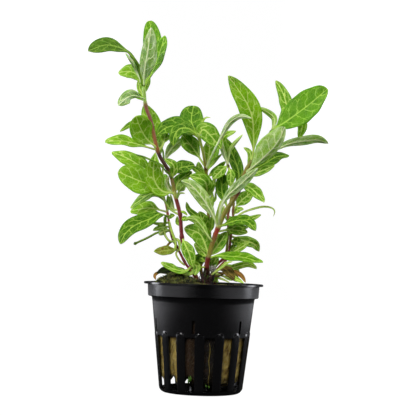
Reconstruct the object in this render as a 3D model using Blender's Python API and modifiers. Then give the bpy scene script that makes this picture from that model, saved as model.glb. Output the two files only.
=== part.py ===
"""Potted hygrophila: a bunch of aquarium stem plant in a slotted 5 cm net pot filled with wool.

Metres, +Z up, the origin at the middle of the pot's base. The pot is a nominal 5 cm net pot, and every
other size follows from it. Routes of stems and leaves are written in millimetres as (x, z, depth): x and z
as they show in the front elevation through the pot's axis, and depth behind that axis.
"""

import math
from dataclasses import dataclass

import bmesh
import bpy
from mathutils import Matrix, Vector

MM = 0.001
GAP = 0.3  # between pieces that touch

# The eye of the front elevation, in millimetres.
EYE_DISTANCE = 573.0
EYE_HEIGHT = 63.5
EYE = Vector((0.0, -EYE_DISTANCE, EYE_HEIGHT))

# Net pot, in millimetres.
POT_STEPS = 60
SLOTS = 15
OPEN_COLUMNS = (0, 1)  # of each slot's share of the steps
RIB_COLUMN = 3
SLOT_TURN = 9.35  # the first slot's middle, in degrees from the front towards +X
POT_WALL = 0.85
FLANGE_RADIUS = 27.5
FLANGE_BELOW = 49.15
COLLAR_TOP_RADIUS = 25.8
COLLAR_LOW_RADIUS = 25.5
STEP_HEIGHT = 43.6
BODY_TOP_RADIUS = 23.7
BODY_LOW_RADIUS = 19.0
BODY_LOW_HEIGHT = 1.8
BASE_RADIUS = 17.5
SLOT_TOP = 26.0
RIB_TOP = 28.3
RIB_PROUD = 0.4
STEP_CHAMFER = 0.6
FLOOR_SLOT_OUTER = 14.0
FLOOR_SLOT_INNER = 6.0
SLITS = 6
SLIT_TURN = -10.5
SLIT_WIDTH = 1.3
SLIT_HEIGHTS = (27.6, 33.6)
SLIT_DEPTH = 4.0

# Wool plug, in millimetres: radius and height of each ring from the rounded foot to the crown.
PLUG_STEPS = 24
PLUG_FOOT = 2.4
PLUG_RINGS = (
    (8.5, 2.9), (14.5, 4.4), (18.4, 8.0), (19.95, 22.0), (21.75, 38.0),
    (22.2, 45.0), (23.2, 47.6), (21.0, 48.9), (15.0, 49.3), (7.5, 49.4),
)
PLUG_CROWN = 49.4
MOUND_ABOVE = 48.5  # only the crown rises with the moss mound
MOUND_AT = (-12.5, -5.5)
MOUND_REACH = 9.5
MOUND_RISE = 4.3

# Stems and leaves, in millimetres.
PLANTED = 8.0
BORE_GAP = 0.6
BORE_SIDES = 8
BORE_ABOVE = 5.5
STEM_SPACING = 8.5
STEM_LEAST_SPANS = 6
LEAF_THICKNESS = 0.5
BLADE_SHARES = (0.2, 0.42, 0.64, 0.85, 1.0)
SHORT_BLADE_SHARES = (0.3, 0.6, 0.85, 1.0)
SMALL_BLADE_SHARES = (0.35, 0.74, 1.0)
LONG_STALK = 0.25
TIP_HALF_WIDTH = 0.3
LEAST_SHOWN = 0.3
WIDTH_SHARES = (0.3, 0.5, 0.7)  # where the width that shows is compared with the real one
TANGENT_REACH = 0.01  # to each side of a point, as a share of the leaf's length
CURVE_STEPS = 120
STEM_SAMPLES = 200
STEM_BEVEL = 2

# Joining of points, in metres, and the height that counts as level, in millimetres.
SAME_POINT = 1e-6
SAME_TURNED_POINT = 1e-5
LEVEL = 0.1
TINY = 1e-9
SHARP_ANGLE = 40.0

LEAF_ROUGHNESS = 0.45
STEM_ROUGHNESS = 0.4
POT_ROUGHNESS = 0.35
WOOL_ROUGHNESS = 0.95
POT_COLOUR = (0.012, 0.012, 0.012)
WOOL_COLOUR = (0.26, 0.24, 0.09)

FRONT = (0.0, -1.0, 0.35)
UP_FRONT = (0.0, -0.75, 0.8)
BACK = (0.0, 1.0, 0.3)

BRIGHT = (0.23, 0.47, 0.03)
MID = (0.12, 0.32, 0.02)
DARK = (0.04, 0.14, 0.01)
PALE = (0.45, 0.62, 0.25)
DEAD = (0.07, 0.05, 0.02)


@dataclass(frozen=True)
class Stem:
    """A round stem: its route from the wool up, its widths, and its colour."""

    name: str
    route: tuple
    width_low: float
    width_top: float
    colour: tuple


@dataclass(frozen=True)
class Leaf:
    """A leaf: the stem and height it grows from, the way it takes from there, and how it is turned.

    Its width is the one that shows in the front elevation. The stalk is the share of its length that is
    bare, and the peak is the share of the blade where it is widest. A skew lays more of the blade's width
    on one side of the midrib.
    """

    name: str
    stem: str
    at: float
    way: tuple
    width: float
    look: tuple = FRONT
    colour: tuple = MID
    peak: float = 0.47
    stalk: float = 0.1
    skew: float = 0.0
    cup: float = 0.12
    blunt: float = 0.6
    base: float = 0.95
    petiole: float = 0.42


STEMS = (
    Stem("tall_stem", (
        (-3, 51, -3), (-7, 60, -3), (-10.2, 68.4, -3), (-11.2, 74.6, -3), (-11.9, 81.4, -2.5),
        (-14.4, 90, -2), (-16.9, 99.9, -1), (-19.4, 103.8, -0.5), (-23.2, 110.5, 0), (-26.7, 124, 1),
        (-29.5, 131.5, 1.5), (-30.7, 141, 2),
    ), 1.8, 1.6, (0.14, 0.03, 0.03)),
    Stem("thin_left_stem", (
        (-4, 52, 3), (-8.8, 59, 3.6), (-12.5, 65.7, 4.2), (-15.3, 70.6, 4.8), (-17, 78, 5.6),
        (-18.3, 84.6, 6.4), (-20.5, 92.5, 7.2), (-20.6, 100, 8.3), (-20.3, 107, 9), (-20.9, 111.4, 9),
    ), 1.2, 0.9, (0.35, 0.1, 0.07)),
    Stem("main_stem", (
        (0.8, 50, -2), (1.2, 58.5, -3.6), (2.2, 63.3, -4.1), (3.2, 67.4, -4.5), (5.7, 75.3, -5),
        (9.05, 83.2, -5.4), (11.4, 86.9, -5.6), (14.2, 91.8, -6), (17.6, 101.5, -6.8), (20, 106, -7),
        (24, 112, -6.8), (30, 122, -6),
    ), 2.2, 1.8, (0.15, 0.13, 0.03)),
    Stem("centre_stem", (
        (2, 50, 9), (2, 73, 8), (1.2, 81, 7), (0.5, 95, 4), (-0.7, 103, 0.5), (-2, 110, -2.5),
        (-3.2, 114, -3), (-4.2, 117, -3.4), (-6, 119.5, -3.6),
    ), 1.4, 1.3, (0.14, 0.13, 0.03)),
    Stem("right_stem", (
        (3, 51, 1), (4.8, 57.3, 1.5), (8.9, 61.7, 2), (10, 64.5, 2.2), (10.4, 70, 2.5), (10.6, 78, 3),
        (10.3, 82, 3), (11.3, 88, 3), (12.1, 94, 3), (11.2, 99.9, 3.5), (9.1, 106, 4),
    ), 1.3, 1.1, (0.15, 0.08, 0.03)),
    Stem("back_stem", (
        (3, 50.6, 5), (5, 53.6, 5.2), (6.3, 56.6, 5.4), (9.8, 60.8, 5.8), (11.3, 64.7, 6.3),
        (11.9, 72.5, 6.5), (12.7, 77, 6.5), (12.6, 84, 6.5), (12.9, 88, 6.5),
    ), 1.4, 1.1, (0.3, 0.08, 0.06)),
)

# Leaves that are nodes of their own.
LEAVES = (
    Leaf("top_leaf_arching_left", "tall_stem", 140.3,
         ((-33, 148.4, 1), (-35.4, 152.4, -1.5), (-39.6, 156.8, -5), (-48.5, 159.1, -11), (-57, 156, -16)),
         6.0, (0.25, -0.9, 0.5), MID, peak=0.62, stalk=0.34, base=1.25, petiole=0.85),
    Leaf("top_leaf_left", "tall_stem", 139.5, ((-32.6, 144.3, 5), (-37, 147, 8), (-42.7, 146.4, 11)), 7.0,
         FRONT, BRIGHT, peak=0.55),
    Leaf("top_leaf_front", "tall_stem", 140.5,
         ((-30.4, 148, -4), (-29.5, 155, -7), (-28.8, 161, -8.5), (-28, 167.8, -10)), 7.6, BACK, PALE,
         skew=-0.2),
    Leaf("top_leaf_back", "tall_stem", 140.0, ((-27, 152, 7), (-27.3, 162, 11), (-28.9, 171, 14)), 9.0,
         (0, -1, 0.2), MID, peak=0.6, blunt=0.45),
    Leaf("top_leaf_right", "tall_stem", 139.0,
         ((-26.2, 149, 2.5), (-23.9, 155.8, 2.5), (-21.5, 164.4, 2.5)), 6.0, (-0.5, -0.8, 0.3), BRIGHT,
         peak=0.56, base=0.85, stalk=0.18),
    Leaf("top_leaf_pale_left", "tall_stem", 134.5,
         ((-34.4, 135.9, -3), (-37.9, 135, -6), (-42.2, 131.1, -9)), 5.4, (0.2, 0.9, 0.5), PALE,
         stalk=0.2),
    Leaf("left_leaf_blunt", "tall_stem", 111.5,
         ((-28.5, 116, -6), (-31.5, 120.8, -11), (-33.8, 126.2, -15)), 10.5, FRONT, BRIGHT, peak=0.6,
         blunt=0.42, base=1.15),
    Leaf("left_leaf_light", "tall_stem", 110.5,
         ((-31, 112.8, -2.5), (-39, 114.5, -6), (-47.7, 113.9, -10)), 4.8, UP_FRONT, BRIGHT, peak=0.58,
         stalk=0.15),
    Leaf("left_leaf_behind_stem", "tall_stem", 112.4,
         ((-24.4, 116, 5), (-26.3, 122.5, 8), (-30, 132, 11)), 9.0, FRONT, BRIGHT),
    Leaf("left_leaf_middle", "thin_left_stem", 99.0,
         ((-29, 102, 8.5), (-36, 106, 11), (-44.4, 109.4, 15)), 7.4, UP_FRONT, MID),
    Leaf("left_leaf_upright", "tall_stem", 90.6,
         ((-21.2, 92.4, -6), (-24.8, 99, -7.5), (-24.2, 109.9, -8.5)), 8.6, FRONT, BRIGHT, blunt=0.9,
         peak=0.45),
    Leaf("left_leaf_wide", "tall_stem", 90.0, ((-22, 93.8, -1.5), (-31, 96.2, -5), (-41.2, 100.2, -9)),
         12.2, (0.0, -1.0, 0.6), MID, peak=0.6, stalk=0.15, blunt=0.5),
    Leaf("left_leaf_dark_arch", "tall_stem", 80.5,
         ((-17, 84, 1), (-20.6, 89.2, 0.5), (-25, 90.7, 1.5), (-29.8, 87.9, 3), (-35, 83.6, 5)), 4.8,
         UP_FRONT, MID, stalk=0.35),
    Leaf("low_left_leaf_light", "thin_left_stem", 82.0,
         ((-20, 82.8, 6.5), (-26.8, 83.8, 9), (-35, 82.2, 12)), 6.2, UP_FRONT, BRIGHT, stalk=0.15,
         peak=0.56, base=1.2),
    Leaf("low_left_leaf_dark", "thin_left_stem", 80.5,
         ((-21.5, 81.2, -1.5), (-25, 79.2, -2.5), (-32.4, 75.7, -5), (-36.9, 71.6, -8), (-39.1, 66.9, -10)),
         7.5, UP_FRONT, DARK, stalk=0.15),
    Leaf("low_leaf_hanging", "tall_stem", 70.5, ((-8.8, 66.8, -6), (-7, 63, -7.5), (-5.2, 57.4, -8)), 5.8,
         FRONT, MID),
    Leaf("leaf_on_wool", "tall_stem", 57.2, ((-9, 55.2, -9), (-14, 56, -13), (-20, 58.8, -15)), 3.3,
         UP_FRONT, MID, peak=0.6),
    Leaf("centre_leaf_dark_round", "centre_stem", 117.2, ((-7.9, 124.4, 7), (-7.3, 132, 11)), 11.2, FRONT,
         DARK, peak=0.6, blunt=0.4),
    Leaf("centre_leaf_left", "centre_stem", 116.8,
         ((-13, 122.2, 0.5), (-19, 121.6, 0.5), (-23.5, 118.2, -1)), 8.4, FRONT, MID),
    Leaf("centre_leaf_rolled", "centre_stem", 117.4,
         ((-8.8, 121.2, -5), (-13.5, 120.9, -7.5), (-15.9, 117, -9), (-15.9, 113, -9.5)), 6.0, FRONT,
         DARK),
    Leaf("centre_leaf_folded", "centre_stem", 103.2,
         ((-4.8, 109.4, 1.5), (-8.6, 114.3, 3), (-12, 118.2, 4.5)), 7.6, FRONT, MID, peak=0.56,
         stalk=0.25, cup=0.3),
    Leaf("centre_leaf_top_right", "centre_stem", 117.0,
         ((-2.4, 120.9, -4.5), (1.2, 118.2, -5.5), (6.2, 112.4, -6)), 8.4, FRONT, MID, peak=0.33,
         base=0.7),
    Leaf("centre_leaf_yellow", "centre_stem", 102.6, ((0.6, 109.6, 0.3), (0.9, 116.5, 0.3)), 6.6, FRONT,
         BRIGHT, stalk=0.2, base=1.2),
    Leaf("centre_leaf_dark_right", "right_stem", 94.0, ((14.8, 100, 6), (12, 109, 8), (7.3, 118, 9)), 5.8,
         FRONT, DARK),
    Leaf("centre_leaf_dark_low", "right_stem", 84.0, ((7.2, 92.3, 5), (7.3, 101, 4)), 6.0, FRONT, DARK,
         peak=0.6, blunt=0.42),
    Leaf("centre_leaf_pale_front", "main_stem", 75.3,
         ((3.9, 80.2, -8), (1, 85.3, -10), (-3.1, 90.9, -11.5), (-7.3, 95.1, -12), (-11.8, 97, -12.5)),
         6.2, BACK, PALE, peak=0.58, base=0.9),
    Leaf("centre_leaf_very_dark", "tall_stem", 99.3, ((-12, 103, 1), (-5.8, 104.3, 1)), 6.4, FRONT, DARK,
         base=1.2),
    Leaf("centre_leaf_behind", "centre_stem", 90.0, ((-1, 97, -2), (-8, 99.6, -3)), 6.2, FRONT, MID),
    Leaf("centre_leaf_beside_stem", "tall_stem", 90.4, ((-13, 96.5, 3), (-7, 101.5, 5.5)), 5.4, FRONT,
         MID),
    Leaf("centre_leaf_low_back", "centre_stem", 73.0, ((-1, 78, 4.5), (-3, 83, 2.5)), 6.4, FRONT, MID),
    Leaf("centre_leaf_glossy", "main_stem", 68.5,
         ((1.2, 71.8, -7.5), (-1.2, 75.5, -8.3), (-4.5, 79, -8.5), (-9, 79.8, -8.5)), 4.0, BACK, PALE,
         peak=0.6, base=1.1),
    Leaf("centre_leaf_veined", "main_stem", 62.0, ((0.8, 66, -2.8), (-2.6, 72.6, -1.2), (-9.7, 75.2, 1)),
         8.4, FRONT, MID, peak=0.52, base=0.6),
    Leaf("centre_leaf_low_right", "main_stem", 61.4, ((7, 69, -2.2), (10, 74, -1.2)), 5.8, FRONT, MID),
    Leaf("right_leaf_upright", "main_stem", 106.0,
         ((21.2, 112, -9), (21, 119, -11), (20.2, 127, -13.5), (17.4, 134, -15), (12.6, 141, -17),
          (8.4, 146.5, -19)), 10.0, FRONT, MID, peak=0.55, base=1.05, blunt=0.68),
    Leaf("right_leaf_large", "main_stem", 121.3,
         ((36.3, 126.2, -8), (45.9, 133.8, -12), (54.7, 141.7, -18)), 12.9, (0.0, -1.0, 0.6), MID,
         peak=0.52, stalk=0.05, blunt=0.5, base=0.75),
    Leaf("right_leaf_pale_front", "main_stem", 100.5,
         ((24.3, 107.2, -12), (29.8, 113, -16), (33.2, 118, -18.5), (35.3, 123.5, -20)), 9.1, BACK, PALE,
         peak=0.55, skew=0.4, cup=0.3, blunt=0.5),
    Leaf("right_leaf_bright", "main_stem", 120.8,
         ((36.3, 130, 1), (35.4, 135.4, 3), (33.4, 140.5, 5), (30.6, 144.9, 7)), 6.4, FRONT, BRIGHT,
         base=1.15),
    Leaf("right_leaf_bent_down", "main_stem", 120.3,
         ((36, 123.6, -1), (41.2, 127, 3), (43.6, 124, 5), (42, 118.2, 6)), 4.8, FRONT, BRIGHT, peak=0.6),
    Leaf("right_leaf_grey", "main_stem", 106.6,
         ((31.5, 112.9, -4), (38, 115.9, -1), (46, 117.5, 3), (51, 117.9, 5), (55.8, 116.4, 7)), 4.3,
         (0.0, 0.8, 0.7), PALE, peak=0.66),
    Leaf("right_leaf_pale_narrow", "main_stem", 76.5,
         ((6.3, 80.5, -9.3), (7, 85.5, -11), (9.8, 90.7, -12.5), (14, 94.6, -13.5), (18.5, 99, -15),
          (23.5, 104, -17)), 4.8, BACK, PALE, peak=0.52, stalk=0.3, petiole=0.55),
    Leaf("right_leaf_dark", "main_stem", 100.0, ((27, 106.3, -3), (32, 109.4, 2), (37.8, 110.4, 6)), 5.6,
         UP_FRONT, DARK),
    Leaf("right_leaf_yellow", "main_stem", 92.3, ((18, 95.4, -9), (21.9, 93.4, -12), (26.9, 88.2, -15)),
         4.5, UP_FRONT, BRIGHT),
    Leaf("right_leaf_small_upright", "back_stem", 84.0, ((16.6, 88.9, 8), (21.6, 93.1, 9.5)), 6.2, FRONT,
         MID, stalk=0.2),
    Leaf("right_leaf_low", "main_stem", 75.5, ((14, 79.2, -8), (19.3, 78.9, -12), (23.3, 75.1, -15)), 4.7,
         UP_FRONT, DARK),
    Leaf("right_leaf_lowest", "main_stem", 61.2,
         ((5.5, 62.7, -5.5), (10, 62.7, -7), (18.5, 62.2, -11), (24, 60.9, -14), (27.1, 60.4, -15)), 4.5,
         UP_FRONT, BRIGHT),
    Leaf("dead_leaf_right", "right_stem", 56.0, ((9.2, 56.9, -4.5), (12.6, 54, -9), (16.2, 51.2, -12)),
         3.6, UP_FRONT, DEAD, blunt=0.4),
    Leaf("dead_leaf_left", "thin_left_stem", 55.0, ((-12, 55.3, 3), (-17, 55.4, 2.5), (-21.8, 54.2, 1)),
         3.8, UP_FRONT, DEAD),
    Leaf("back_leaf_middle", "centre_stem", 81.0, ((1.5, 80, 15), (0.5, 79.5, 23), (-0.5, 76, 30)), 7.0,
         UP_FRONT, MID),
    Leaf("back_leaf_upper", "centre_stem", 100.4, ((0.2, 102.6, 12), (2.2, 111, 20), (3, 117, 27)), 6.5,
         UP_FRONT, MID, stalk=0.4),
    Leaf("back_leaf_right", "main_stem", 109.0, ((25.5, 112, 1), (28, 115, 9), (29.5, 115.5, 17)), 7.0,
         UP_FRONT, MID),
    Leaf("back_leaf_left", "thin_left_stem", 92.5, ((-23, 96, 14), (-25, 98, 22), (-27, 97, 29)), 9.0,
         UP_FRONT, MID),
    Leaf("back_leaf_low", "back_stem", 75.0, ((14, 79, 14), (15, 80, 22), (16, 78, 28)), 8.0, UP_FRONT,
         MID),
)

# Small leaves and shoots, fused to the stem that they grow from.
SMALL_LEAVES = (
    Leaf("small_top_dark", "tall_stem", 133.5, ((-33.5, 136.1, 5), (-35.2, 136, 7)), 3.0),
    Leaf("small_behind_blunt", "tall_stem", 110.2,
         ((-27, 117.2, 1.2), (-34, 122.7, 1), (-41.1, 119, 1.5)), 3.6),
    Leaf("small_edge_on", "tall_stem", 98.0,
         ((-18.8, 101.2, -9.8), (-24, 105.2, -11.5), (-33.5, 108.7, -13)), 1.2, (0, -0.3, 1)),
    Leaf("small_left_low", "thin_left_stem", 75.5, ((-20, 75.2, 3), (-24.3, 73.6, 2)), 2.6),
    Leaf("small_left_pale", "thin_left_stem", 74.0, ((-19.6, 73.2, 2.5), (-21.4, 71.6, 0.5)), 3.4, BACK),
    Leaf("small_left_stalk", "thin_left_stem", 73.6,
         ((-22, 72.6, 2), (-26.5, 70.1, 1), (-32.9, 66.9, -1)), 1.5, peak=0.7, stalk=0.86),
    Leaf("small_wilted", "thin_left_stem", 65.0, ((-17, 64.6, 0), (-19.8, 64.1, -1.5), (-23.4, 63.9, -3)),
         4.4, peak=0.5),
    Leaf("small_between_stems", "tall_stem", 89.0, ((-18.2, 94.5, 0.5), (-17.9, 98.9, 1.5)), 2.8, BACK),
    Leaf("small_above_low_left", "thin_left_stem", 82.6, ((-17.4, 85.6, 4.2), (-17.8, 90.3, 3.8)), 2.2),
    Leaf("small_pale_strap", "centre_stem", 102.8,
         ((3, 111.5, -8.5), (6.2, 118.2, -11), (9.9, 124.6, -14), (14.7, 127.8, -18.5), (20, 127, -21)),
         2.8, BACK, peak=0.6, stalk=0.3),
    Leaf("small_bright_right", "right_stem", 103.4, ((8, 111, 4), (7, 117.6, 4.5), (12.8, 120.9, 3)),
         4.2),
    Leaf("small_pale_tip", "right_stem", 105.2, ((10.5, 112.3, 3), (16, 119.4, 1)), 2.0, BACK),
    Leaf("small_dark_right", "centre_stem", 101.6, ((3.6, 106.8, 7.5), (6.9, 110.4, 7.5)), 1.7),
    Leaf("small_below_gap", "centre_stem", 98.6, ((4.4, 102.4, 7), (8.4, 106.6, 7.5)), 3.2),
    Leaf("small_pale_upright", "right_stem", 104.6, ((7.4, 111, 2), (6.4, 116, 2)), 2.0, BACK),
    Leaf("small_left_over_stem", "tall_stem", 97.0, ((-15.4, 103.5, -5), (-19.8, 106.9, -5)), 4.2),
    Leaf("small_centre_upright", "centre_stem", 95.5, ((-3.2, 101.5, 4.5), (-4.2, 106, 4.5)), 4.2),
    Leaf("small_grey", "tall_stem", 88.2, ((-12.6, 92.4, -5), (-10.2, 95.8, -6.5)), 4.0, BACK,
         stalk=0.45),
    Leaf("small_dark_hooked", "centre_stem", 76.5,
         ((-2.6, 79.6, 6.5), (-7.6, 83.3, 5.5), (-9.2, 87.2, 5)), 3.0),
    Leaf("small_low_dark", "main_stem", 59.0, ((-1.9, 61.5, -1.5), (-2.3, 57.3, -0.8)), 5.0),
    Leaf("small_low_hanging", "tall_stem", 60.0, ((-3.6, 57.5, -5.2), (-4.2, 53.4, -6.5)), 3.8),
    Leaf("small_low_shoot", "main_stem", 51.6, ((5.7, 55.5, -7), (10.1, 59.3, -12), (12.9, 60.3, -14)),
         1.5, stalk=0.4, petiole=0.55),
    Leaf("small_top_middle", "main_stem", 119.6,
         ((30.5, 126.8, -4.5), (27.1, 130.1, -4.2), (22.2, 132.3, -4)), 3.0, BACK),
    Leaf("small_right_below", "main_stem", 98.8, ((24.8, 102.5, -8), (31.2, 105.4, -8.5)), 3.9),
    Leaf("small_left_of_pale", "main_stem", 102.5,
         ((20, 108, -4), (19.3, 111.3, -3.2), (16.6, 113.3, -2.5)), 2.9),
    Leaf("small_tendril", "back_stem", 79.5,
         ((17.1, 83, 4), (22.7, 85.2, 2), (27, 86.1, 1), (30.5, 85.6, 0), (31.9, 84, 0), (31.2, 81.6, 0)),
         1.0),
    Leaf("small_brown_spot", "main_stem", 76.2, ((15, 79.1, -2.5), (20, 80, -1.5), (25.6, 82.3, -1.5)),
         2.7, peak=0.65),
    Leaf("small_grey_right", "main_stem", 73.6, ((12, 75, -2.2), (19.6, 74, -2)), 4.8, stalk=0.3),
    Leaf("small_right_drooping", "back_stem", 72.0, ((18, 70.1, 7), (22.7, 68.8, 9), (25.3, 65.4, 11)),
         4.8),
    Leaf("small_right_light", "back_stem", 63.5, ((16.6, 66.8, 1), (20.6, 69.6, -2)), 3.2),
    Leaf("small_dark_round", "back_stem", 65.0, ((14.4, 64.8, 8.5), (16.8, 64.4, 10)), 3.2),
    Leaf("small_bluish", "back_stem", 61.0, ((14.5, 62.3, 4), (19, 61.3, 2), (24.4, 57.9, 1)), 2.0),
    Leaf("small_low_light", "back_stem", 60.0,
         ((12, 57.4, 0), (15, 58, -1.5), (20, 59.1, -3), (24.3, 57.3, -4)), 3.1),
    Leaf("small_centre_pale", "thin_left_stem", 104.0, ((-17.5, 111, 7.5), (-11.8, 116.4, 7)), 4.8, BACK,
         peak=0.62),
    Leaf("small_side_shoot", "main_stem", 75.0, ((5.1, 80, -1.5), (6.2, 85, -0.5), (7.2, 88.5, 0)), 1.3,
         stalk=0.9, petiole=0.7),
    Leaf("small_back_tall", "tall_stem", 107.5, ((-23, 113, 8), (-22.8, 117.5, 15)), 4.4, UP_FRONT),
    Leaf("small_back_top", "tall_stem", 136.0, ((-30, 143.5, 11), (-30.3, 150, 16)), 5.0, UP_FRONT),
    Leaf("small_back_low", "right_stem", 72.0, ((7.6, 72.6, 9), (8.3, 72, 15)), 3.4, UP_FRONT),
)


def seen(x, z, depth):
    """The point that shows at x, z in the front elevation and lies depth behind the pot's axis."""
    grow = 1.0 + depth / EYE_DISTANCE
    return Vector((x * grow, depth, EYE_HEIGHT + (z - EYE_HEIGHT) * grow))


def smooth_point(points, t):
    """The point at t, from 0 to 1, on the smooth curve through points."""
    spans = len(points) - 1
    span = min(int(t * spans), spans - 1)
    s = t * spans - span
    p1, p2 = points[span], points[span + 1]
    p0 = points[span - 1] if span > 0 else 2 * p1 - p2
    p3 = points[span + 2] if span + 2 <= spans else 2 * p2 - p1
    return 0.5 * (2 * p1 + (p2 - p0) * s + (2 * p0 - 5 * p1 + 4 * p2 - p3) * s * s
                  + (3 * p1 - p0 - 3 * p2 + p3) * s ** 3)


def even_points(points, shares):
    """Points at these shares of the length of the smooth curve through points."""
    fine = [smooth_point(points, i / CURVE_STEPS) for i in range(CURVE_STEPS + 1)]
    reach = [0.0]
    for a, b in zip(fine, fine[1:]):
        reach.append(reach[-1] + (b - a).length)
    found = []
    for share in shares:
        goal = share * reach[-1]
        i = max(1, next((n for n, r in enumerate(reach) if r >= goal - TINY), CURVE_STEPS))
        rest = (goal - reach[i - 1]) / max(reach[i] - reach[i - 1], TINY)
        found.append(fine[i - 1].lerp(fine[i], rest))
    return found


def stem_points(stem):
    """The stem's route in space, with its planted foot."""
    foot_x, foot_z, foot_depth = stem.route[0]
    foot = seen(foot_x, foot_z, foot_depth)
    return [foot - Vector((0, 0, PLANTED))] + [seen(*p) for p in stem.route]


def stem_place(stem, height):
    """The stem's axis point at this height, its direction there and its radius."""
    points = stem_points(stem)
    fine = even_points(points, [i / STEM_SAMPLES for i in range(STEM_SAMPLES + 1)])
    i = max(1, next((n for n, p in enumerate(fine) if p.z >= height), STEM_SAMPLES))
    share = i / STEM_SAMPLES
    radius = 0.5 * (stem.width_low + (stem.width_top - stem.width_low) * share)
    return fine[i], (fine[i] - fine[i - 1]).normalized(), radius


def stations_along(leaf, blade_shares):
    """Shares of the leaf's length where its surface is measured, its stalk first."""
    stalk = (0.0, 0.5 * leaf.stalk, leaf.stalk) if leaf.stalk > LONG_STALK else (0.0, leaf.stalk)
    return stalk + tuple(leaf.stalk + (1.0 - leaf.stalk) * share for share in blade_shares)


def half_width(leaf, width, share):
    """Half the blade's width at this share of the leaf's length, its stalk first."""
    s = min(1.0, (share - leaf.stalk) / (1.0 - leaf.stalk))
    if s <= 0.0:
        return leaf.petiole
    bend = math.log(0.5) / math.log(leaf.peak)
    power = leaf.base + (leaf.blunt - leaf.base) * s
    return max(TIP_HALF_WIDTH, 0.5 * width * max(0.0, math.sin(math.pi * s ** bend)) ** power)


def shown_share(frame):
    """How much of a blade's width at this frame shows in the front elevation, from 0 to 1."""
    centre, side, up = frame
    view = (centre - EYE).normalized()
    tangent = up.cross(side)
    across = view.cross(tangent - tangent.dot(view) * view).normalized()
    return abs(side.dot(across))


def full_width(leaf, stems):
    """The blade's real width, from the width that shows in the front elevation."""
    frames = leaf_frames(leaf, stems, WIDTH_SHARES, False)
    shown = sum(shown_share(frame) for frame in frames) / len(frames)
    return leaf.width / max(LEAST_SHOWN, shown)


def leaf_frames(leaf, stems, stations, fused):
    """Centre, side and upper direction at each station, in millimetres."""
    axis, along, radius = stem_place(stems[leaf.stem], leaf.at)
    way = [seen(*p) for p in leaf.way]
    out = way[0] - axis
    out = (out - out.dot(along) * along).normalized()
    start = axis if fused else axis + out * (radius + GAP + leaf.petiole)
    points = [start] + way
    centres = even_points(points, stations)
    ahead = even_points(points, [min(1.0, s + TANGENT_REACH) for s in stations])
    behind = even_points(points, [max(0.0, s - TANGENT_REACH) for s in stations])
    frames = []
    for centre, a, b in zip(centres, ahead, behind):
        tangent = (a - b).normalized()
        look = Vector(leaf.look)
        up = (look - look.dot(tangent) * tangent).normalized()
        frames.append((centre, tangent.cross(up), up))
    return frames


def material_for(name, colour, roughness):
    """The node's own plain material."""
    material = bpy.data.materials.new(name)
    material.use_nodes = True
    shader = material.node_tree.nodes["Principled BSDF"]
    shader.inputs["Base Color"].default_value = (*colour, 1.0)
    shader.inputs["Roughness"].default_value = roughness
    shader.inputs["Metallic"].default_value = 0.0
    return material


def add_object(name, mesh, collection, colour=None, roughness=0.5):
    """A named object on this mesh, in its collection, with its material."""
    mesh.shade_smooth()
    mesh.set_sharp_from_angle(angle=math.radians(SHARP_ANGLE))
    obj = bpy.data.objects.new(name, mesh)
    collection.objects.link(obj)
    if colour:
        mesh.materials.append(material_for(name, colour, roughness))
    return obj


def leaf_mesh(leaf, stems, stations, fused):
    """The blade as an open surface: a grid laid along the leaf's way."""
    columns = 1 if fused else 2
    rows = len(stations) - 1
    frames = leaf_frames(leaf, stems, stations, fused)
    width = full_width(leaf, stems)
    bm = bmesh.new()
    bmesh.ops.create_grid(bm, x_segments=columns, y_segments=rows, size=1.0)
    for vert in bm.verts:
        row = round((vert.co.y + 1.0) / 2.0 * rows)
        side_share = vert.co.x
        centre, side, up = frames[row]
        half = half_width(leaf, width, stations[row])
        out = side_share * half * (1.0 + leaf.skew * side_share)
        vert.co = (centre + side * out + up * leaf.cup * abs(side_share) * half) * MM
    mesh = bpy.data.meshes.new(leaf.name)
    bm.to_mesh(mesh)
    bm.free()
    return mesh


def solidify(obj, thickness, offset):
    """Gives an open surface its thickness."""
    modifier = obj.modifiers.new("thickness", "SOLIDIFY")
    modifier.thickness = thickness * MM
    modifier.offset = offset


def add_leaf(leaf, stems, collection):
    """A leaf that is a node of its own."""
    blade_shares = BLADE_SHARES if len(leaf.way) > 2 else SHORT_BLADE_SHARES
    mesh = leaf_mesh(leaf, stems, stations_along(leaf, blade_shares), False)
    obj = add_object(leaf.name, mesh, collection, leaf.colour, LEAF_ROUGHNESS)
    solidify(obj, LEAF_THICKNESS, 0.0)
    return obj


def boolean(obj, cutter, operation):
    """One exact Boolean of obj with cutter."""
    modifier = obj.modifiers.new(f"{operation.lower()}_{cutter.name}"[:60], "BOOLEAN")
    modifier.operation = operation
    modifier.solver = "EXACT"
    modifier.object = cutter


def as_cutter(obj):
    """Keeps a working solid out of the part."""
    obj.hide_render = True
    obj.display_type = "WIRE"


def curve_as_mesh(curve_object):
    """The curve's closed mesh, with its caps welded on; the curve is removed."""
    evaluated = curve_object.evaluated_get(bpy.context.evaluated_depsgraph_get())
    mesh = bpy.data.meshes.new_from_object(evaluated)
    place = curve_object.matrix_world.copy()
    bm = bmesh.new()
    bm.from_mesh(mesh)
    bmesh.ops.remove_doubles(bm, verts=bm.verts, dist=SAME_POINT)
    bm.to_mesh(mesh)
    bm.free()
    bpy.data.objects.remove(curve_object)
    return mesh, place


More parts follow.
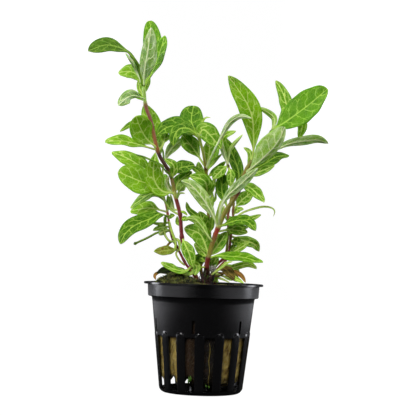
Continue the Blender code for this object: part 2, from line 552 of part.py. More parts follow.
def add_stem(stem, stems, collection, cutters):
    """A stem with its small leaves and shoots fused to it."""
    points = stem_points(stem)
    length = sum((b - a).length for a, b in zip(points, points[1:]))
    count = max(STEM_LEAST_SPANS, round(length / STEM_SPACING))
    shares = [i / count for i in range(count + 1)]
    curve = bpy.data.curves.new(stem.name, "CURVE")
    curve.dimensions = "3D"
    curve.bevel_depth = 0.5 * stem.width_low * MM
    curve.bevel_resolution = STEM_BEVEL
    curve.use_fill_caps = True
    spline = curve.splines.new("POLY")
    spline.points.add(count)
    for point, place, share in zip(spline.points, even_points(points, shares), shares):
        point.co = (*(place * MM), 1.0)
        point.radius = 1.0 + (stem.width_top / stem.width_low - 1.0) * share
    bare = bpy.data.objects.new(f"{stem.name}_curve", curve)
    collection.objects.link(bare)
    mesh, place = curve_as_mesh(bare)
    mesh.materials.clear()
    obj = add_object(stem.name, mesh, collection, stem.colour, STEM_ROUGHNESS)
    obj.matrix_world = place
    for leaf in SMALL_LEAVES:
        if leaf.stem == stem.name:
            stations = stations_along(leaf, SMALL_BLADE_SHARES)
            small = add_object(leaf.name, leaf_mesh(leaf, stems, stations, True), cutters)
            solidify(small, LEAF_THICKNESS, 0.0)
            as_cutter(small)
            boolean(obj, small, "UNION")
    return obj


def pot_profile():
    """Radius and height down the pot's outer side, from the flange to the middle of the base."""
    return (
        (FLANGE_RADIUS, FLANGE_BELOW), (COLLAR_TOP_RADIUS, FLANGE_BELOW), (COLLAR_LOW_RADIUS, STEP_HEIGHT),
        (BODY_TOP_RADIUS, STEP_HEIGHT - STEP_CHAMFER), (body_radius(RIB_TOP), RIB_TOP),
        (body_radius(SLOT_TOP), SLOT_TOP), (BODY_LOW_RADIUS, BODY_LOW_HEIGHT), (BASE_RADIUS, 0.0),
        (FLOOR_SLOT_OUTER, 0.0), (FLOOR_SLOT_INNER, 0.0), (0.0, 0.0),
    )


def body_radius(height):
    """The tapered body's outer radius at this height."""
    share = (height - BODY_LOW_HEIGHT) / (STEP_HEIGHT - BODY_LOW_HEIGHT)
    return BODY_LOW_RADIUS + (BODY_TOP_RADIUS - BODY_LOW_RADIUS) * share


def around(turn, radius, height):
    """A point on the pot at this turn in degrees, from the front towards +X."""
    angle = math.radians(turn)
    return Vector((radius * math.sin(angle), -radius * math.cos(angle), height))


def turned_skin():
    """The pot's outer skin as an open turned surface, with its mesh grid exact in angle."""
    profile = pot_profile()
    bm = bmesh.new()
    verts = [bm.verts.new(Vector((r, 0.0, z)) * MM) for r, z in profile]
    for a, b in zip(verts, verts[1:]):
        bm.edges.new((a, b))
    mesh = bpy.data.meshes.new("pot_profile")
    bm.to_mesh(mesh)
    bm.free()
    return mesh


def add_pot(collection, cutters):
    """The moulded net pot: a turned skin with open slots and proud ribs, thickened inwards."""
    first = bpy.data.objects.new("pot_profile", turned_skin())
    collection.objects.link(first)
    screw = first.modifiers.new("turn", "SCREW")
    screw.steps = POT_STEPS
    screw.render_steps = POT_STEPS
    screw.use_merge_vertices = True
    screw.merge_threshold = SAME_TURNED_POINT
    evaluated = first.evaluated_get(bpy.context.evaluated_depsgraph_get())
    mesh = bpy.data.meshes.new_from_object(evaluated)
    bpy.data.objects.remove(first)

    step = 360.0 / POT_STEPS
    start = SLOT_TURN - step
    bm = bmesh.new()
    bm.from_mesh(mesh)
    bmesh.ops.remove_doubles(bm, verts=bm.verts, dist=SAME_POINT)
    bmesh.ops.rotate(bm, verts=bm.verts, cent=(0, 0, 0),
                     matrix=Matrix.Rotation(math.radians(start - 90.0), 3, "Z"))
    period = POT_STEPS // SLOTS
    floor_period = POT_STEPS // SLITS
    gone = []
    for face in bm.faces:
        centre = face.calc_center_median() / MM
        turn = math.degrees(math.atan2(centre.x, -centre.y))
        column = math.floor((turn - start) / step) % POT_STEPS
        radius = math.hypot(centre.x, centre.y)
        in_slot = column % period in OPEN_COLUMNS
        in_body = BODY_LOW_HEIGHT < centre.z < SLOT_TOP
        on_floor = centre.z < LEVEL and FLOOR_SLOT_INNER < radius < FLOOR_SLOT_OUTER
        if (in_slot and in_body) or (on_floor and column % floor_period in OPEN_COLUMNS):
            gone.append(face)
    bmesh.ops.delete(bm, geom=gone, context="FACES")
    rib_rows = (BODY_LOW_HEIGHT, SLOT_TOP)
    for vert in bm.verts:
        turn = math.degrees(math.atan2(vert.co.x, -vert.co.y))
        column = round((turn - start) / step) % POT_STEPS
        on_rib = any(abs(vert.co.z / MM - row) < LEVEL for row in rib_rows)
        if on_rib and column % period == RIB_COLUMN:
            flat = Vector((vert.co.x, vert.co.y, 0.0)).normalized()
            vert.co += flat * RIB_PROUD * MM
    bm.to_mesh(mesh)
    bm.free()
    mesh.materials.clear()
    mesh.name = "pot"
    obj = add_object("pot", mesh, collection, POT_COLOUR, POT_ROUGHNESS)
    solidify(obj, POT_WALL, -1.0)
    low, high = SLIT_HEIGHTS
    for i in range(SLITS):
        turn = SLIT_TURN + 360.0 / SLITS * i
        middle = around(turn, body_radius(0.5 * (low + high)) - 0.5 * POT_WALL, 0.5 * (low + high))
        bpy.ops.mesh.primitive_cube_add(size=1.0, location=middle * MM,
                                        rotation=(0.0, 0.0, math.radians(turn)))
        cutter = bpy.context.object
        cutter.name = f"slit_{i}"
        cutter.scale = (SLIT_WIDTH * MM, SLIT_DEPTH * MM, (high - low) * MM)
        collection_only(cutter, cutters)
        as_cutter(cutter)
        boolean(obj, cutter, "DIFFERENCE")
    return obj


def collection_only(obj, collection):
    """Moves an object that an operator made into this collection."""
    for held in list(obj.users_collection):
        held.objects.unlink(obj)
    collection.objects.link(obj)


def add_wool_plug(collection, cutters):
    """The wool plug: a rounded foot, the pot's inner taper, a crown with the moss mound, bored for stems."""
    bm = bmesh.new()
    bmesh.ops.create_uvsphere(bm, u_segments=PLUG_STEPS, v_segments=len(PLUG_RINGS) + 1, radius=1.0)
    rings = len(PLUG_RINGS) + 1
    for vert in bm.verts:
        polar = math.acos(max(-1.0, min(1.0, -vert.co.z)))
        ring = round(polar / math.pi * rings)
        if ring == 0:
            vert.co = Vector((0, 0, PLUG_FOOT))
        elif ring == rings:
            vert.co = Vector((0, 0, PLUG_CROWN))
        else:
            radius, height = PLUG_RINGS[ring - 1]
            flat = Vector((vert.co.x, vert.co.y, 0.0)).normalized()
            vert.co = flat * radius + Vector((0, 0, height))
        if vert.co.z > MOUND_ABOVE:
            off = math.hypot(vert.co.x - MOUND_AT[0], vert.co.y - MOUND_AT[1]) / MOUND_REACH
            vert.co.z += MOUND_RISE * math.exp(-off * off)
        vert.co *= MM
    mesh = bpy.data.meshes.new("wool_plug")
    bm.to_mesh(mesh)
    bm.free()
    obj = add_object("wool_plug", mesh, collection, WOOL_COLOUR, WOOL_ROUGHNESS)
    for stem in STEMS:
        foot_x, foot_z, foot_depth = stem.route[0]
        foot = seen(foot_x, foot_z, foot_depth)
        deep, top = foot.z - PLANTED - BORE_GAP, foot.z + BORE_ABOVE
        radius = 0.5 * stem.width_low + BORE_GAP
        bpy.ops.mesh.primitive_cylinder_add(vertices=BORE_SIDES, radius=radius * MM, depth=(top - deep) * MM,
                                            location=Vector((foot.x, foot.y, 0.5 * (top + deep))) * MM)
        cutter = bpy.context.object
        cutter.name = f"bore_{stem.name}"
        collection_only(cutter, cutters)
        as_cutter(cutter)
        boolean(obj, cutter, "DIFFERENCE")
    return obj


def build():
    """Builds the pot, the wool plug, the stems and the leaves."""
    for obj in list(bpy.data.objects):
        bpy.data.objects.remove(obj)
    part = bpy.data.collections.new("potted_hygrophila")
    cutters = bpy.data.collections.new("cutters")
    cutters.hide_render = True
    bpy.context.scene.collection.children.link(part)
    bpy.context.scene.collection.children.link(cutters)
    stems = {stem.name: stem for stem in STEMS}
    add_pot(part, cutters)
    add_wool_plug(part, cutters)
    for stem in STEMS:
        add_stem(stem, stems, part, cutters)
    for leaf in LEAVES:
        add_leaf(leaf, stems, part)


build()
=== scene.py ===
"""Dresses the potted hygrophila: veined leaves, stems, the moulded net pot, wool and moss.

Routes of stems and leaves repeat those of the solids. They are in millimetres as (x, z, depth): x and z as
they show in the front elevation through the pot's axis, and depth behind that axis. Meshes are in metres.
"""

from __future__ import annotations

import logging
import math
import random
from dataclasses import dataclass
from enum import Enum
from typing import Sequence

import bmesh
import bpy
from mathutils import Matrix, Vector, noise


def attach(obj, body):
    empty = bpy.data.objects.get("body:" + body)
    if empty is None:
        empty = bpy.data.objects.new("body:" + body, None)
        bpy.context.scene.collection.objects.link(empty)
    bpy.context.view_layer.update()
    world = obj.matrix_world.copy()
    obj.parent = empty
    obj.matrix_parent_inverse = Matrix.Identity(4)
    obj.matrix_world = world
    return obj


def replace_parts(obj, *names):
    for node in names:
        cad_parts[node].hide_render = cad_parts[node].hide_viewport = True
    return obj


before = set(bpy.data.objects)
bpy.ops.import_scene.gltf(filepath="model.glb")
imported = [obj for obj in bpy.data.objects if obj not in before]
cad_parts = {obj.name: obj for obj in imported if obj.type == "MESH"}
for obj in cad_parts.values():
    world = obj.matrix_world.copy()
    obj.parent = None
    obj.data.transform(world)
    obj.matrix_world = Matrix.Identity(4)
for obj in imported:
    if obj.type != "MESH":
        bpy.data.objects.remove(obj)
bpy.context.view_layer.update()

LOG = logging.getLogger("hygrophila")

MM = 0.001
Pair = tuple[float, float]
Point = tuple[float, float, float]
Colour = tuple[float, float, float]
Faces = list[tuple[int, ...]]
Socket = bpy.types.NodeSocket

WHITE = (1.0, 1.0, 1.0)
SOFT_BLUE = (0.93, 0.94, 1.0)

# The eye of the front elevation, in millimetres, and where the picture's middle looks.
EYE = Vector((0.0, -573.0, 63.5))
AIM = Vector((0.93, 0.0, 84.7))
ROLL = math.radians(1.75)
LENS_MM = 107.2

# How a leaf's laterals sweep forward, and how far one side's stand ahead of the other's.
SWEEP_STRAIGHT = 0.09
SWEEP_CURVED = 0.1
SWEEP_POWER = 2.2
STAGGER = 0.14

# How many millimetres of a blade one unit of its map of places stands for.
MAP_MM = 100.0


def srgb(red: float, green: float, blue: float) -> Colour:
    """Linear colour from screen values of 0 to 255."""
    shares = (red / 255, green / 255, blue / 255)
    return tuple(((c + 0.055) / 1.055) ** 2.4 if c > 0.04 else c / 12.92 for c in shares)


def mixed(a: Colour, b: Colour, share: float) -> Colour:
    """The colour at this share of the way from a to b."""
    return tuple(p + (q - p) * share for p, q in zip(a, b))


def ease(low: float, high: float, value: float) -> float:
    """A smooth step from 0 at low to 1 at high."""
    t = max(0.0, min(1.0, (value - low) / (high - low)))
    return t * t * (3.0 - 2.0 * t)


def seen(x: float, z: float, depth: float) -> Vector:
    """The point in millimetres that shows at x, z and lies depth behind the pot's axis."""
    grow = 1.0 + depth / -EYE.y
    return Vector((x * grow, depth, EYE.z + (z - EYE.z) * grow))


def around(radius: float, turn: float, height: float) -> Vector:
    """The point at this radius, height and turn in radians from the front towards +X."""
    return Vector((radius * math.sin(turn), -radius * math.cos(turn), height))


def smooth_point(points: Sequence[Vector], t: float) -> Vector:
    """The point at t, from 0 to 1, on the smooth curve through points.

    Args:
        points: what the curve goes through.
        t: how far along, each span taking the same share.

    Returns:
        The point there.
    """
    spans = len(points) - 1
    span = min(int(t * spans), spans - 1)
    s = t * spans - span
    p1, p2 = points[span], points[span + 1]
    p0 = points[span - 1] if span > 0 else 2 * p1 - p2
    p3 = points[span + 2] if span + 2 <= spans else 2 * p2 - p1
    return 0.5 * (2 * p1 + (p2 - p0) * s + (2 * p0 - 5 * p1 + 4 * p2 - p3) * s * s
                  + (3 * p1 - p0 - 3 * p2 + p3) * s ** 3)


def even_points(points: Sequence[Vector], shares: Sequence[float], steps: int = 120) -> list[Vector]:
    """Points at these shares of the length of the smooth curve through points.

    Args:
        points: the curve's own points.
        shares: shares of its length, rising from 0 to 1.
        steps: how finely the curve is measured.

    Returns:
        One point for each share.
    """
    fine = [smooth_point(points, i / steps) for i in range(steps + 1)]
    reach = [0.0]
    for a, b in zip(fine, fine[1:]):
        reach.append(reach[-1] + (b - a).length)
    found = []
    i = 1
    for share in shares:
        goal = share * reach[-1]
        while i < steps and reach[i] < goal:
            i += 1
        while i > 1 and reach[i - 1] > goal:
            i -= 1
        rest = (goal - reach[i - 1]) / max(reach[i] - reach[i - 1], 1e-9)
        found.append(fine[i - 1].lerp(fine[i], rest))
    return found


def ring(centre: Vector, side: Vector, other: Vector, radii: Sequence[float]) -> list[Vector]:
    """Points round a centre, one for each radius, in the plane of two directions."""
    turns = [math.tau * j / len(radii) for j in range(len(radii))]
    return [centre + (side * math.cos(t) + other * math.sin(t)) * r for t, r in zip(turns, radii)]


def ring_faces(rings: int, sides: int, start: int = 0) -> Faces:
    """The faces between rings of points that lie one after the other.

    Args:
        rings: how many rings there are.
        sides: how many points each has.
        start: the number of the first point.

    Returns:
        Faces of four points each.
    """
    pairs = [(start + i * sides + j, start + i * sides + (j + 1) % sides)
             for i in range(rings - 1) for j in range(sides)]
    return [(a, b, b + sides, a + sides) for a, b in pairs]


class Nodes:
    """A small hand for wiring shader nodes."""

    def __init__(self, tree: bpy.types.NodeTree) -> None:
        """Keeps the tree that the nodes go in."""
        self.tree = tree

    def add(self, kind: str, inputs: dict[str | int, object] | None = None,
            **settings: object) -> bpy.types.Node:
        """Adds one node.

        Args:
            kind: the node's type.
            inputs: a socket or value for each of some inputs.
            settings: the node's own settings.

        Returns:
            The node.
        """
        node = self.tree.nodes.new(f"ShaderNode{kind}")
        for name, value in settings.items():
            setattr(node, name, value)
        self.feed(node, inputs or {})
        return node

    def feed(self, node: bpy.types.Node, inputs: dict[str | int, object]) -> None:
        """Links or sets inputs of a node, which are given by name or number.

        Args:
            node: the node that takes them.
            inputs: a socket to link or a value to set for each.
        """
        for key, value in inputs.items():
            socket = node.inputs[key]
            if isinstance(value, Socket):
                self.tree.links.new(value, socket)
            else:
                socket.default_value = (*value, 1.0) if socket.type == "RGBA" else value

    def math(self, operation: str, *values: object) -> Socket:
        """One Math node's result."""
        return self.add("Math", dict(enumerate(values)), operation=operation).outputs[0]

    def times(self, vector: object, factors: Point, shift: Point = (0.0, 0.0, 0.0)) -> Socket:
        """A vector with each of its numbers multiplied and shifted."""
        return self.add("VectorMath", {0: vector, 1: factors, 2: shift}, operation="MULTIPLY_ADD").outputs[0]

    def split(self, vector: object) -> bpy.types.NodeOutputs:
        """The X, Y and Z of a vector."""
        return self.add("SeparateXYZ", {0: vector}).outputs

    def step(self, value: object, low: object, high: object, from_one: bool = False) -> Socket:
        """A smooth step of a value.

        Args:
            value: the value.
            low: where the step starts.
            high: where it ends.
            from_one: whether it falls from 1 to 0, and doesn't rise from 0 to 1.

        Returns:
            The step's height.
        """
        ends = {"To Min": float(from_one), "To Max": float(not from_one)}
        return self.add("MapRange", {"Value": value, "From Min": low, "From Max": high, **ends},
                        interpolation_type="SMOOTHSTEP").outputs["Result"]

    def mix(self, share: object, a: object, b: object, blend: str = "MIX") -> Socket:
        """One colour mix; a Mix node has its colours in inputs 6 and 7 and in output 2."""
        return self.add("Mix", {0: share, 6: a, 7: b}, data_type="RGBA", blend_type=blend).outputs[2]

    def noise(self, place: object, scale: object, detail: float = 3.0) -> Socket:
        """A noise texture's value."""
        return self.add("TexNoise", {"Vector": place, "Scale": scale, "Detail": detail}).outputs["Fac"]

    def mottles(self, place: object, scale: float, low: float, high: float, share: float = 1.0) -> Socket:
        """Soft mottles from the shared group, as a mask of up to this share."""
        values = {"Place": place, "Scale": scale, "Low": low, "High": high, "Share": share}
        return MottleGroup.node(self, values).outputs["Mask"]

    def relief(self, shader: bpy.types.Node, height: object, strength: float, depth: float) -> None:
        """Bumps the shader's normal by this height, up to this depth in millimetres."""
        bump = self.add("Bump", {"Strength": strength, "Distance": depth * MM, "Height": height})
        self.feed(shader, {"Normal": bump.outputs[0]})


def new_material(name: str) -> tuple[bpy.types.Material, bpy.types.Node, Nodes]:
    """Makes a node material.

    Args:
        name: the material's name.

    Returns:
        The material, its shader and a hand for its nodes.
    """
    material = bpy.data.materials.new(name)
    material.use_nodes = True
    return material, material.node_tree.nodes["Principled BSDF"], Nodes(material.node_tree)


class SharedGroup:
    """A shader node group that is built at its first use and shared by every material."""

    NAME = ""
    VECTORS: tuple[str, ...] = ()
    NUMBERS: tuple[str, ...] = ()
    MASKS: tuple[str, ...] = ()

    @classmethod
    def node(cls, w: Nodes, inputs: dict[str, object]) -> bpy.types.Node:
        """A node of this group among those of a material, with these inputs."""
        return w.add("Group", inputs, node_tree=bpy.data.node_groups.get(cls.NAME) or cls._made())

    @classmethod
    def _made(cls) -> bpy.types.NodeTree:
        """Builds the group with its named inputs and outputs."""
        group = bpy.data.node_groups.new(cls.NAME, "ShaderNodeTree")
        for names, way, kind in ((cls.VECTORS, "INPUT", "Vector"), (cls.NUMBERS, "INPUT", "Float"),
                                 (cls.MASKS, "OUTPUT", "Float")):
            for name in names:
                group.interface.new_socket(name, in_out=way, socket_type=f"NodeSocket{kind}")
        w = Nodes(group)
        came = group.nodes.new("NodeGroupInput").outputs
        w.feed(group.nodes.new("NodeGroupOutput"), cls.masks(w, came))
        return group

    @staticmethod
    def masks(w: Nodes, came: bpy.types.NodeOutputs) -> dict[str, Socket]:
        """Wires the group from what came in to its masks by name."""
        raise NotImplementedError


class MottleGroup(SharedGroup):
    """Soft mottles: grain, stains, specks and streaks."""

    NAME = "mottles"
    VECTORS = ("Place",)
    NUMBERS = ("Scale", "Low", "High", "Share")
    MASKS = ("Mask",)

    @staticmethod
    def masks(w: Nodes, came: bpy.types.NodeOutputs) -> dict[str, Socket]:
        """Wires the mottles as one mask."""
        mask = w.step(w.noise(came["Place"], came["Scale"]), came["Low"], came["High"])
        return {"Mask": w.math("MULTIPLY", mask, came["Share"])}


class VeinGroup(SharedGroup):
    """A blade's midrib, looping laterals and fine net, from places on it as shares and in millimetres."""

    NAME = "blade_veins"
    VECTORS = ("Share", "Place")
    NUMBERS = ("Length", "Pairs", "Width")
    MASKS = ("Midrib", "Laterals", "Net")

    @staticmethod
    def masks(w: Nodes, came: bpy.types.NodeOutputs) -> dict[str, Socket]:
        """Wires the three kinds of vein.

        Args:
            w: the hand for the group's nodes.
            came: the places, the blade's length, the pairs of its laterals and how wide they are.

        Returns:
            A mask for each kind.
        """
        across, along, _ = w.split(came["Share"])
        side = w.math("MULTIPLY_ADD", across, 2.0, -1.0)
        out = w.math("ABSOLUTE", side)
        across_mm = w.math("ABSOLUTE", w.split(came["Place"])["X"])
        wander = w.math("SUBTRACT", w.noise(came["Place"], 0.35, 1.0), 0.5)
        straight = w.math("MULTIPLY", out, SWEEP_STRAIGHT)
        sweep = w.math("MULTIPLY_ADD", w.math("POWER", out, SWEEP_POWER), SWEEP_CURVED, straight)
        phase = w.math("MULTIPLY", w.math("SUBTRACT", along, sweep), came["Pairs"])
        phase = w.math("MULTIPLY_ADD", wander, 0.85, phase)
        phase = w.math("MULTIPLY_ADD", w.math("SIGN", side), STAGGER, phase)
        off = w.math("ABSOLUTE", w.math("SUBTRACT", w.math("FRACT", phase), 0.5))
        pitch = w.math("DIVIDE", came["Length"], came["Pairs"])
        wide = w.math("MULTIPLY", came["Width"], w.math("MULTIPLY_ADD", out, -0.35, 1.0))
        lateral = w.step(w.math("MULTIPLY", off, pitch), 0.04, wide, True)
        lateral = w.math("MULTIPLY", lateral, w.step(out, 0.66, 0.86, True))
        wave = w.math("COSINE", w.math("MULTIPLY", phase, math.tau))
        loop = w.math("ABSOLUTE", w.math("SUBTRACT", out, w.math("MULTIPLY_ADD", wave, 0.11, 0.72)))
        half = w.math("DIVIDE", across_mm, w.math("MAXIMUM", out, 0.02))
        loop = w.step(w.math("MULTIPLY", loop, half), 0.02, w.math("MULTIPLY", wide, 0.9), True)
        width = w.math("MULTIPLY_ADD", w.math("SUBTRACT", 1.0, along), 0.42, 0.24)
        cells = w.add("TexVoronoi", {"Vector": came["Place"], "Scale": 0.62}, feature="DISTANCE_TO_EDGE")
        net = w.step(cells.outputs["Distance"], 0.01, 0.085, True)
        return {"Midrib": w.step(across_mm, w.math("MULTIPLY", width, 0.25), width, True),
                "Laterals": w.math("MAXIMUM", lateral, w.math("MULTIPLY", loop, 0.7)),
                "Net": w.math("MULTIPLY", net, w.step(out, 0.9, 1.0, True))}


@dataclass(frozen=True)
class BladeFace:
    """One side of a leaf: its flesh, shade and vein colours in screen values, how strongly the veins and
    their net show, its gloss, and how strongly whitish painted sheen streaks it.
    """

    flesh: Colour
    shade: Colour
    vein: Colour
    veins: float = 0.6
    net: float = 0.14
    gloss: float = 0.45
    # How strongly whitish streaks of painted sheen cover this side.
    painted_sheen: float = 0.0


class Tone(Enum):
    """The kinds of leaf, each with its upper and its under side."""

    BRIGHT = (
        BladeFace((120, 168, 8), (92, 144, 6), (200, 218, 118), 0.7, 0.22),
        BladeFace((142, 184, 48), (114, 164, 30), (214, 232, 144), 0.7, 0.22),
    )
    MID = (
        BladeFace((98, 147, 5), (71, 122, 3), (190, 212, 106), 0.72, 0.24),
        BladeFace((130, 172, 44), (100, 148, 28), (206, 224, 136), 0.7, 0.22),
    )
    DEEP = (
        BladeFace((90, 142, 3), (66, 116, 2), (170, 204, 80), 0.6, 0.16),
        BladeFace((126, 168, 40), (94, 142, 24), (196, 218, 124), 0.6, 0.16),
    )
    DARK = (
        BladeFace((72, 120, 3), (45, 92, 2), (164, 196, 72), 0.65, 0.22),
        BladeFace((108, 152, 42), (78, 124, 25), (180, 206, 112), 0.65, 0.2),
    )
    DULL = (
        BladeFace((72, 110, 10), (50, 86, 5), (148, 180, 72), 0.55, 0.14),
        BladeFace((118, 152, 54), (88, 126, 34), (176, 198, 108), 0.55, 0.14),
    )
    PALE = (
        BladeFace((118, 168, 8), (90, 142, 5), (204, 226, 108), 0.7, 0.24),
        BladeFace((152, 190, 72), (116, 160, 44), (234, 242, 186), 0.75, 0.24, 0.4, 0.28),
    )
    GREY = (
        BladeFace((100, 148, 12), (72, 122, 6), (194, 216, 104), 0.7, 0.24),
        BladeFace((132, 168, 76), (92, 136, 42), (226, 236, 182), 0.75, 0.24, 0.36, 0.4),
    )
    DEAD = (
        BladeFace((92, 80, 32), (44, 30, 12), (136, 114, 54), 0.5, 0.4, 0.6),
        BladeFace((98, 80, 38), (48, 30, 16), (130, 106, 60), 0.5, 0.4, 0.65),
    )
    AMBER = (
        BladeFace((136, 94, 34), (66, 34, 12), (176, 134, 64), 0.5, 0.4, 0.5),
        BladeFace((128, 90, 38), (64, 36, 14), (166, 126, 66), 0.5, 0.4, 0.5),
    )
    WILTED = (
        BladeFace((112, 150, 34), (116, 92, 30), (170, 188, 88), 0.5, 0.3, 0.5),
        BladeFace((124, 156, 56), (112, 94, 40), (174, 188, 104), 0.5, 0.3, 0.5),
    )
    # Near-black: a rotting leaf, painted darker still as the shade of the hollow behind the moss.
    ROTTEN_SHADED = (
        BladeFace((22, 30, 8), (8, 9, 3), (44, 54, 14), 0.5, 0.3, 0.7),
        BladeFace((24, 32, 10), (10, 11, 5), (44, 54, 14), 0.5, 0.3, 0.7),
    )


FRONT = (0.0, -1.0, 0.35)
UP_FRONT = (0.0, -0.75, 0.8)
BACK = (0.0, 1.0, 0.3)


@dataclass(frozen=True)
class Stem:
    """A stem: its widths, the heights of its joints, its route and its colours by height."""

    name: str
    width_low: float
    width_top: float
    joints: tuple[float, ...]
    route: tuple[Point, ...]
    bands: tuple[tuple[float, Colour], ...]

    PLANTED = 8.0
    SAMPLES = 200

    def points(self) -> list[Vector]:
        """The route in space, with its planted foot."""
        return [seen(*self.route[0]) - Vector((0, 0, self.PLANTED))] + [seen(*p) for p in self.route]

    def axis_at(self, height: float) -> Vector:
        """The point of its axis at this height."""
        fine = even_points(self.points(), [i / self.SAMPLES for i in range(self.SAMPLES + 1)])
        return next((p for p in fine[1:] if p.z >= height), fine[-1])

    def radius(self, share: float) -> float:
        """Its radius at this share of its length."""
        return 0.5 * (self.width_low + (self.width_top - self.width_low) * share)

    def colour(self, height: float) -> Colour:
        """The skin's colour.

        Args:
            height: the height in millimetres.

        Returns:
            The colour there.
        """
        for (low, a), (high, b) in zip(self.bands, self.bands[1:]):
            if height <= high:
                return mixed(a, b, max(0.0, min(1.0, (height - low) / (high - low))))
        return self.bands[-1][1]


@dataclass(frozen=True)
class Leaf:
    """A leaf: where it grows from, its way from there, the width that shows, and its looks and form.

    The stalk is the share of its length that is bare, and the peak is the share of the blade where it is
    widest. A skew of the blade lays more of its width on one side of the midrib.
    """

    name: str
    stem: Stem
    at: float
    way: tuple[Point, ...]
    width: float
    tone: Tone = Tone.MID
    look: Point = FRONT
    peak: float = 0.47
    stalk: float = 0.1
    skew: float = 0.0
    cup: float = 0.12
    blunt: float = 0.6
    base: float = 0.95
    petiole: float = 0.42


CRIMSON = srgb(108, 18, 28)
ROSE = srgb(166, 54, 74)
RED_BROWN = srgb(112, 34, 24)
DARK_BROWN = srgb(58, 22, 12)
OLIVE = srgb(128, 126, 44)
OLIVE_BROWN = srgb(116, 80, 32)
ORANGE_BROWN = srgb(158, 100, 36)
GREEN = srgb(128, 166, 62)
SALMON = srgb(176, 104, 80)
YELLOW_GREEN = srgb(182, 198, 92)

TALL = Stem(
    "tall_stem", 1.8, 1.6, (60, 70.8, 81.4, 90.3, 99.5, 110.8, 122, 132),
    ((-3, 51, -3), (-7, 60, -3), (-10.2, 68.4, -3), (-11.2, 74.6, -3), (-11.9, 81.4, -2.5), (-14.4, 90, -2),
     (-16.9, 99.9, -1), (-19.4, 103.8, -0.5), (-23.2, 110.5, 0), (-26.7, 124, 1), (-29.5, 131.5, 1.5),
     (-30.7, 141, 2)),
    ((44, OLIVE_BROWN), (60, RED_BROWN), (69, CRIMSON), (78, CRIMSON), (80, RED_BROWN), (88, RED_BROWN),
     (90, YELLOW_GREEN), (92, OLIVE), (100, OLIVE_BROWN), (102, DARK_BROWN), (109, DARK_BROWN),
     (111, ORANGE_BROWN), (116, srgb(140, 84, 40)), (121, srgb(120, 78, 36)), (124, srgb(108, 54, 34)),
     (131, srgb(116, 64, 40)), (134, GREEN), (142, GREEN)))
THIN = Stem(
    "thin_left_stem", 1.2, 0.9, (60, 66.6, 74, 81.5, 92.5, 99),
    ((-4, 52, 3), (-8.8, 59, 3.6), (-12.5, 65.7, 4.2), (-15.3, 70.6, 4.8), (-17, 78, 5.6),
     (-18.3, 84.6, 6.4), (-20.5, 92.5, 7.2), (-20.6, 100, 8.3), (-20.3, 107, 9), (-20.9, 111.4, 9)),
    ((44, ROSE), (58, CRIMSON), (66, CRIMSON), (67.5, DARK_BROWN), (72, RED_BROWN), (76, SALMON),
     (86, SALMON), (92, OLIVE), (106, GREEN)))
MAIN = Stem(
    "main_stem", 2.2, 1.8, (57.4, 61.6, 75.8, 92.3, 106, 121),
    ((0.8, 50, -2), (1.2, 58.5, -3.6), (2.2, 63.3, -4.1), (3.2, 67.4, -4.5), (5.7, 75.3, -5),
     (9.05, 83.2, -5.4), (11.4, 86.9, -5.6), (14.2, 91.8, -6), (17.6, 101.5, -6.8), (20, 106, -7),
     (24, 112, -6.8), (30, 122, -6)),
    ((44, DARK_BROWN), (56.8, DARK_BROWN), (57.6, srgb(104, 30, 20)), (61.6, srgb(112, 36, 24)),
     (62.2, OLIVE), (66, OLIVE), (71, OLIVE_BROWN), (73, srgb(150, 56, 26)), (75, srgb(142, 46, 34)),
     (76.4, YELLOW_GREEN), (80, OLIVE), (88, OLIVE), (90.5, OLIVE_BROWN), (92, srgb(96, 24, 22)),
     (95, OLIVE_BROWN), (104, OLIVE), (112, GREEN), (122, GREEN)))
CENTRE = Stem(
    "centre_stem", 1.4, 1.3, (62, 73, 81, 91, 103, 116.5),
    ((2, 50, 9), (2, 73, 8), (1.2, 81, 7), (0.5, 95, 4), (-0.7, 103, 0.5), (-2, 110, -2.5), (-3.2, 114, -3),
     (-4.2, 117, -3.4), (-6, 119.5, -3.6)),
    ((44, OLIVE_BROWN), (70, OLIVE_BROWN), (82, OLIVE), (92, SALMON), (96, OLIVE), (102, OLIVE),
     (102.8, DARK_BROWN), (104, OLIVE), (120, GREEN)))
RIGHT = Stem(
    "right_stem", 1.3, 1.1, (62, 72, 84, 94, 105),
    ((3, 51, 1), (4.8, 57.3, 1.5), (8.9, 61.7, 2), (10, 64.5, 2.2), (10.4, 70, 2.5), (10.6, 78, 3),
     (10.3, 82, 3), (11.3, 88, 3), (12.1, 94, 3), (11.2, 99.9, 3.5), (9.1, 106, 4)),
    ((44, DARK_BROWN), (56, DARK_BROWN), (57.5, ROSE), (61, CRIMSON), (63, ROSE), (66, OLIVE), (74, OLIVE),
     (77, SALMON), (82, SALMON), (86, OLIVE), (104, OLIVE), (106, DARK_BROWN)))
REAR = Stem(
    "back_stem", 1.4, 1.1, (64, 72, 79.5, 84),
    ((3, 50.6, 5), (5, 53.6, 5.2), (6.3, 56.6, 5.4), (9.8, 60.8, 5.8), (11.3, 64.7, 6.3), (11.9, 72.5, 6.5),
     (12.7, 77, 6.5), (12.6, 84, 6.5), (12.9, 88, 6.5)),
    ((44, SALMON), (54, SALMON), (60, ROSE), (66, RED_BROWN), (72, OLIVE_BROWN), (76, RED_BROWN),
     (80, SALMON), (88, OLIVE)))
STEMS = (TALL, THIN, MAIN, CENTRE, RIGHT, REAR)

BRIGHT, MID, DARK, PALE, GREY, DEAD = Tone.BRIGHT, Tone.MID, Tone.DARK, Tone.PALE, Tone.GREY, Tone.DEAD
AMBER, WILTED, ROTTEN_SHADED, DULL, DEEP = Tone.AMBER, Tone.WILTED, Tone.ROTTEN_SHADED, Tone.DULL, Tone.DEEP

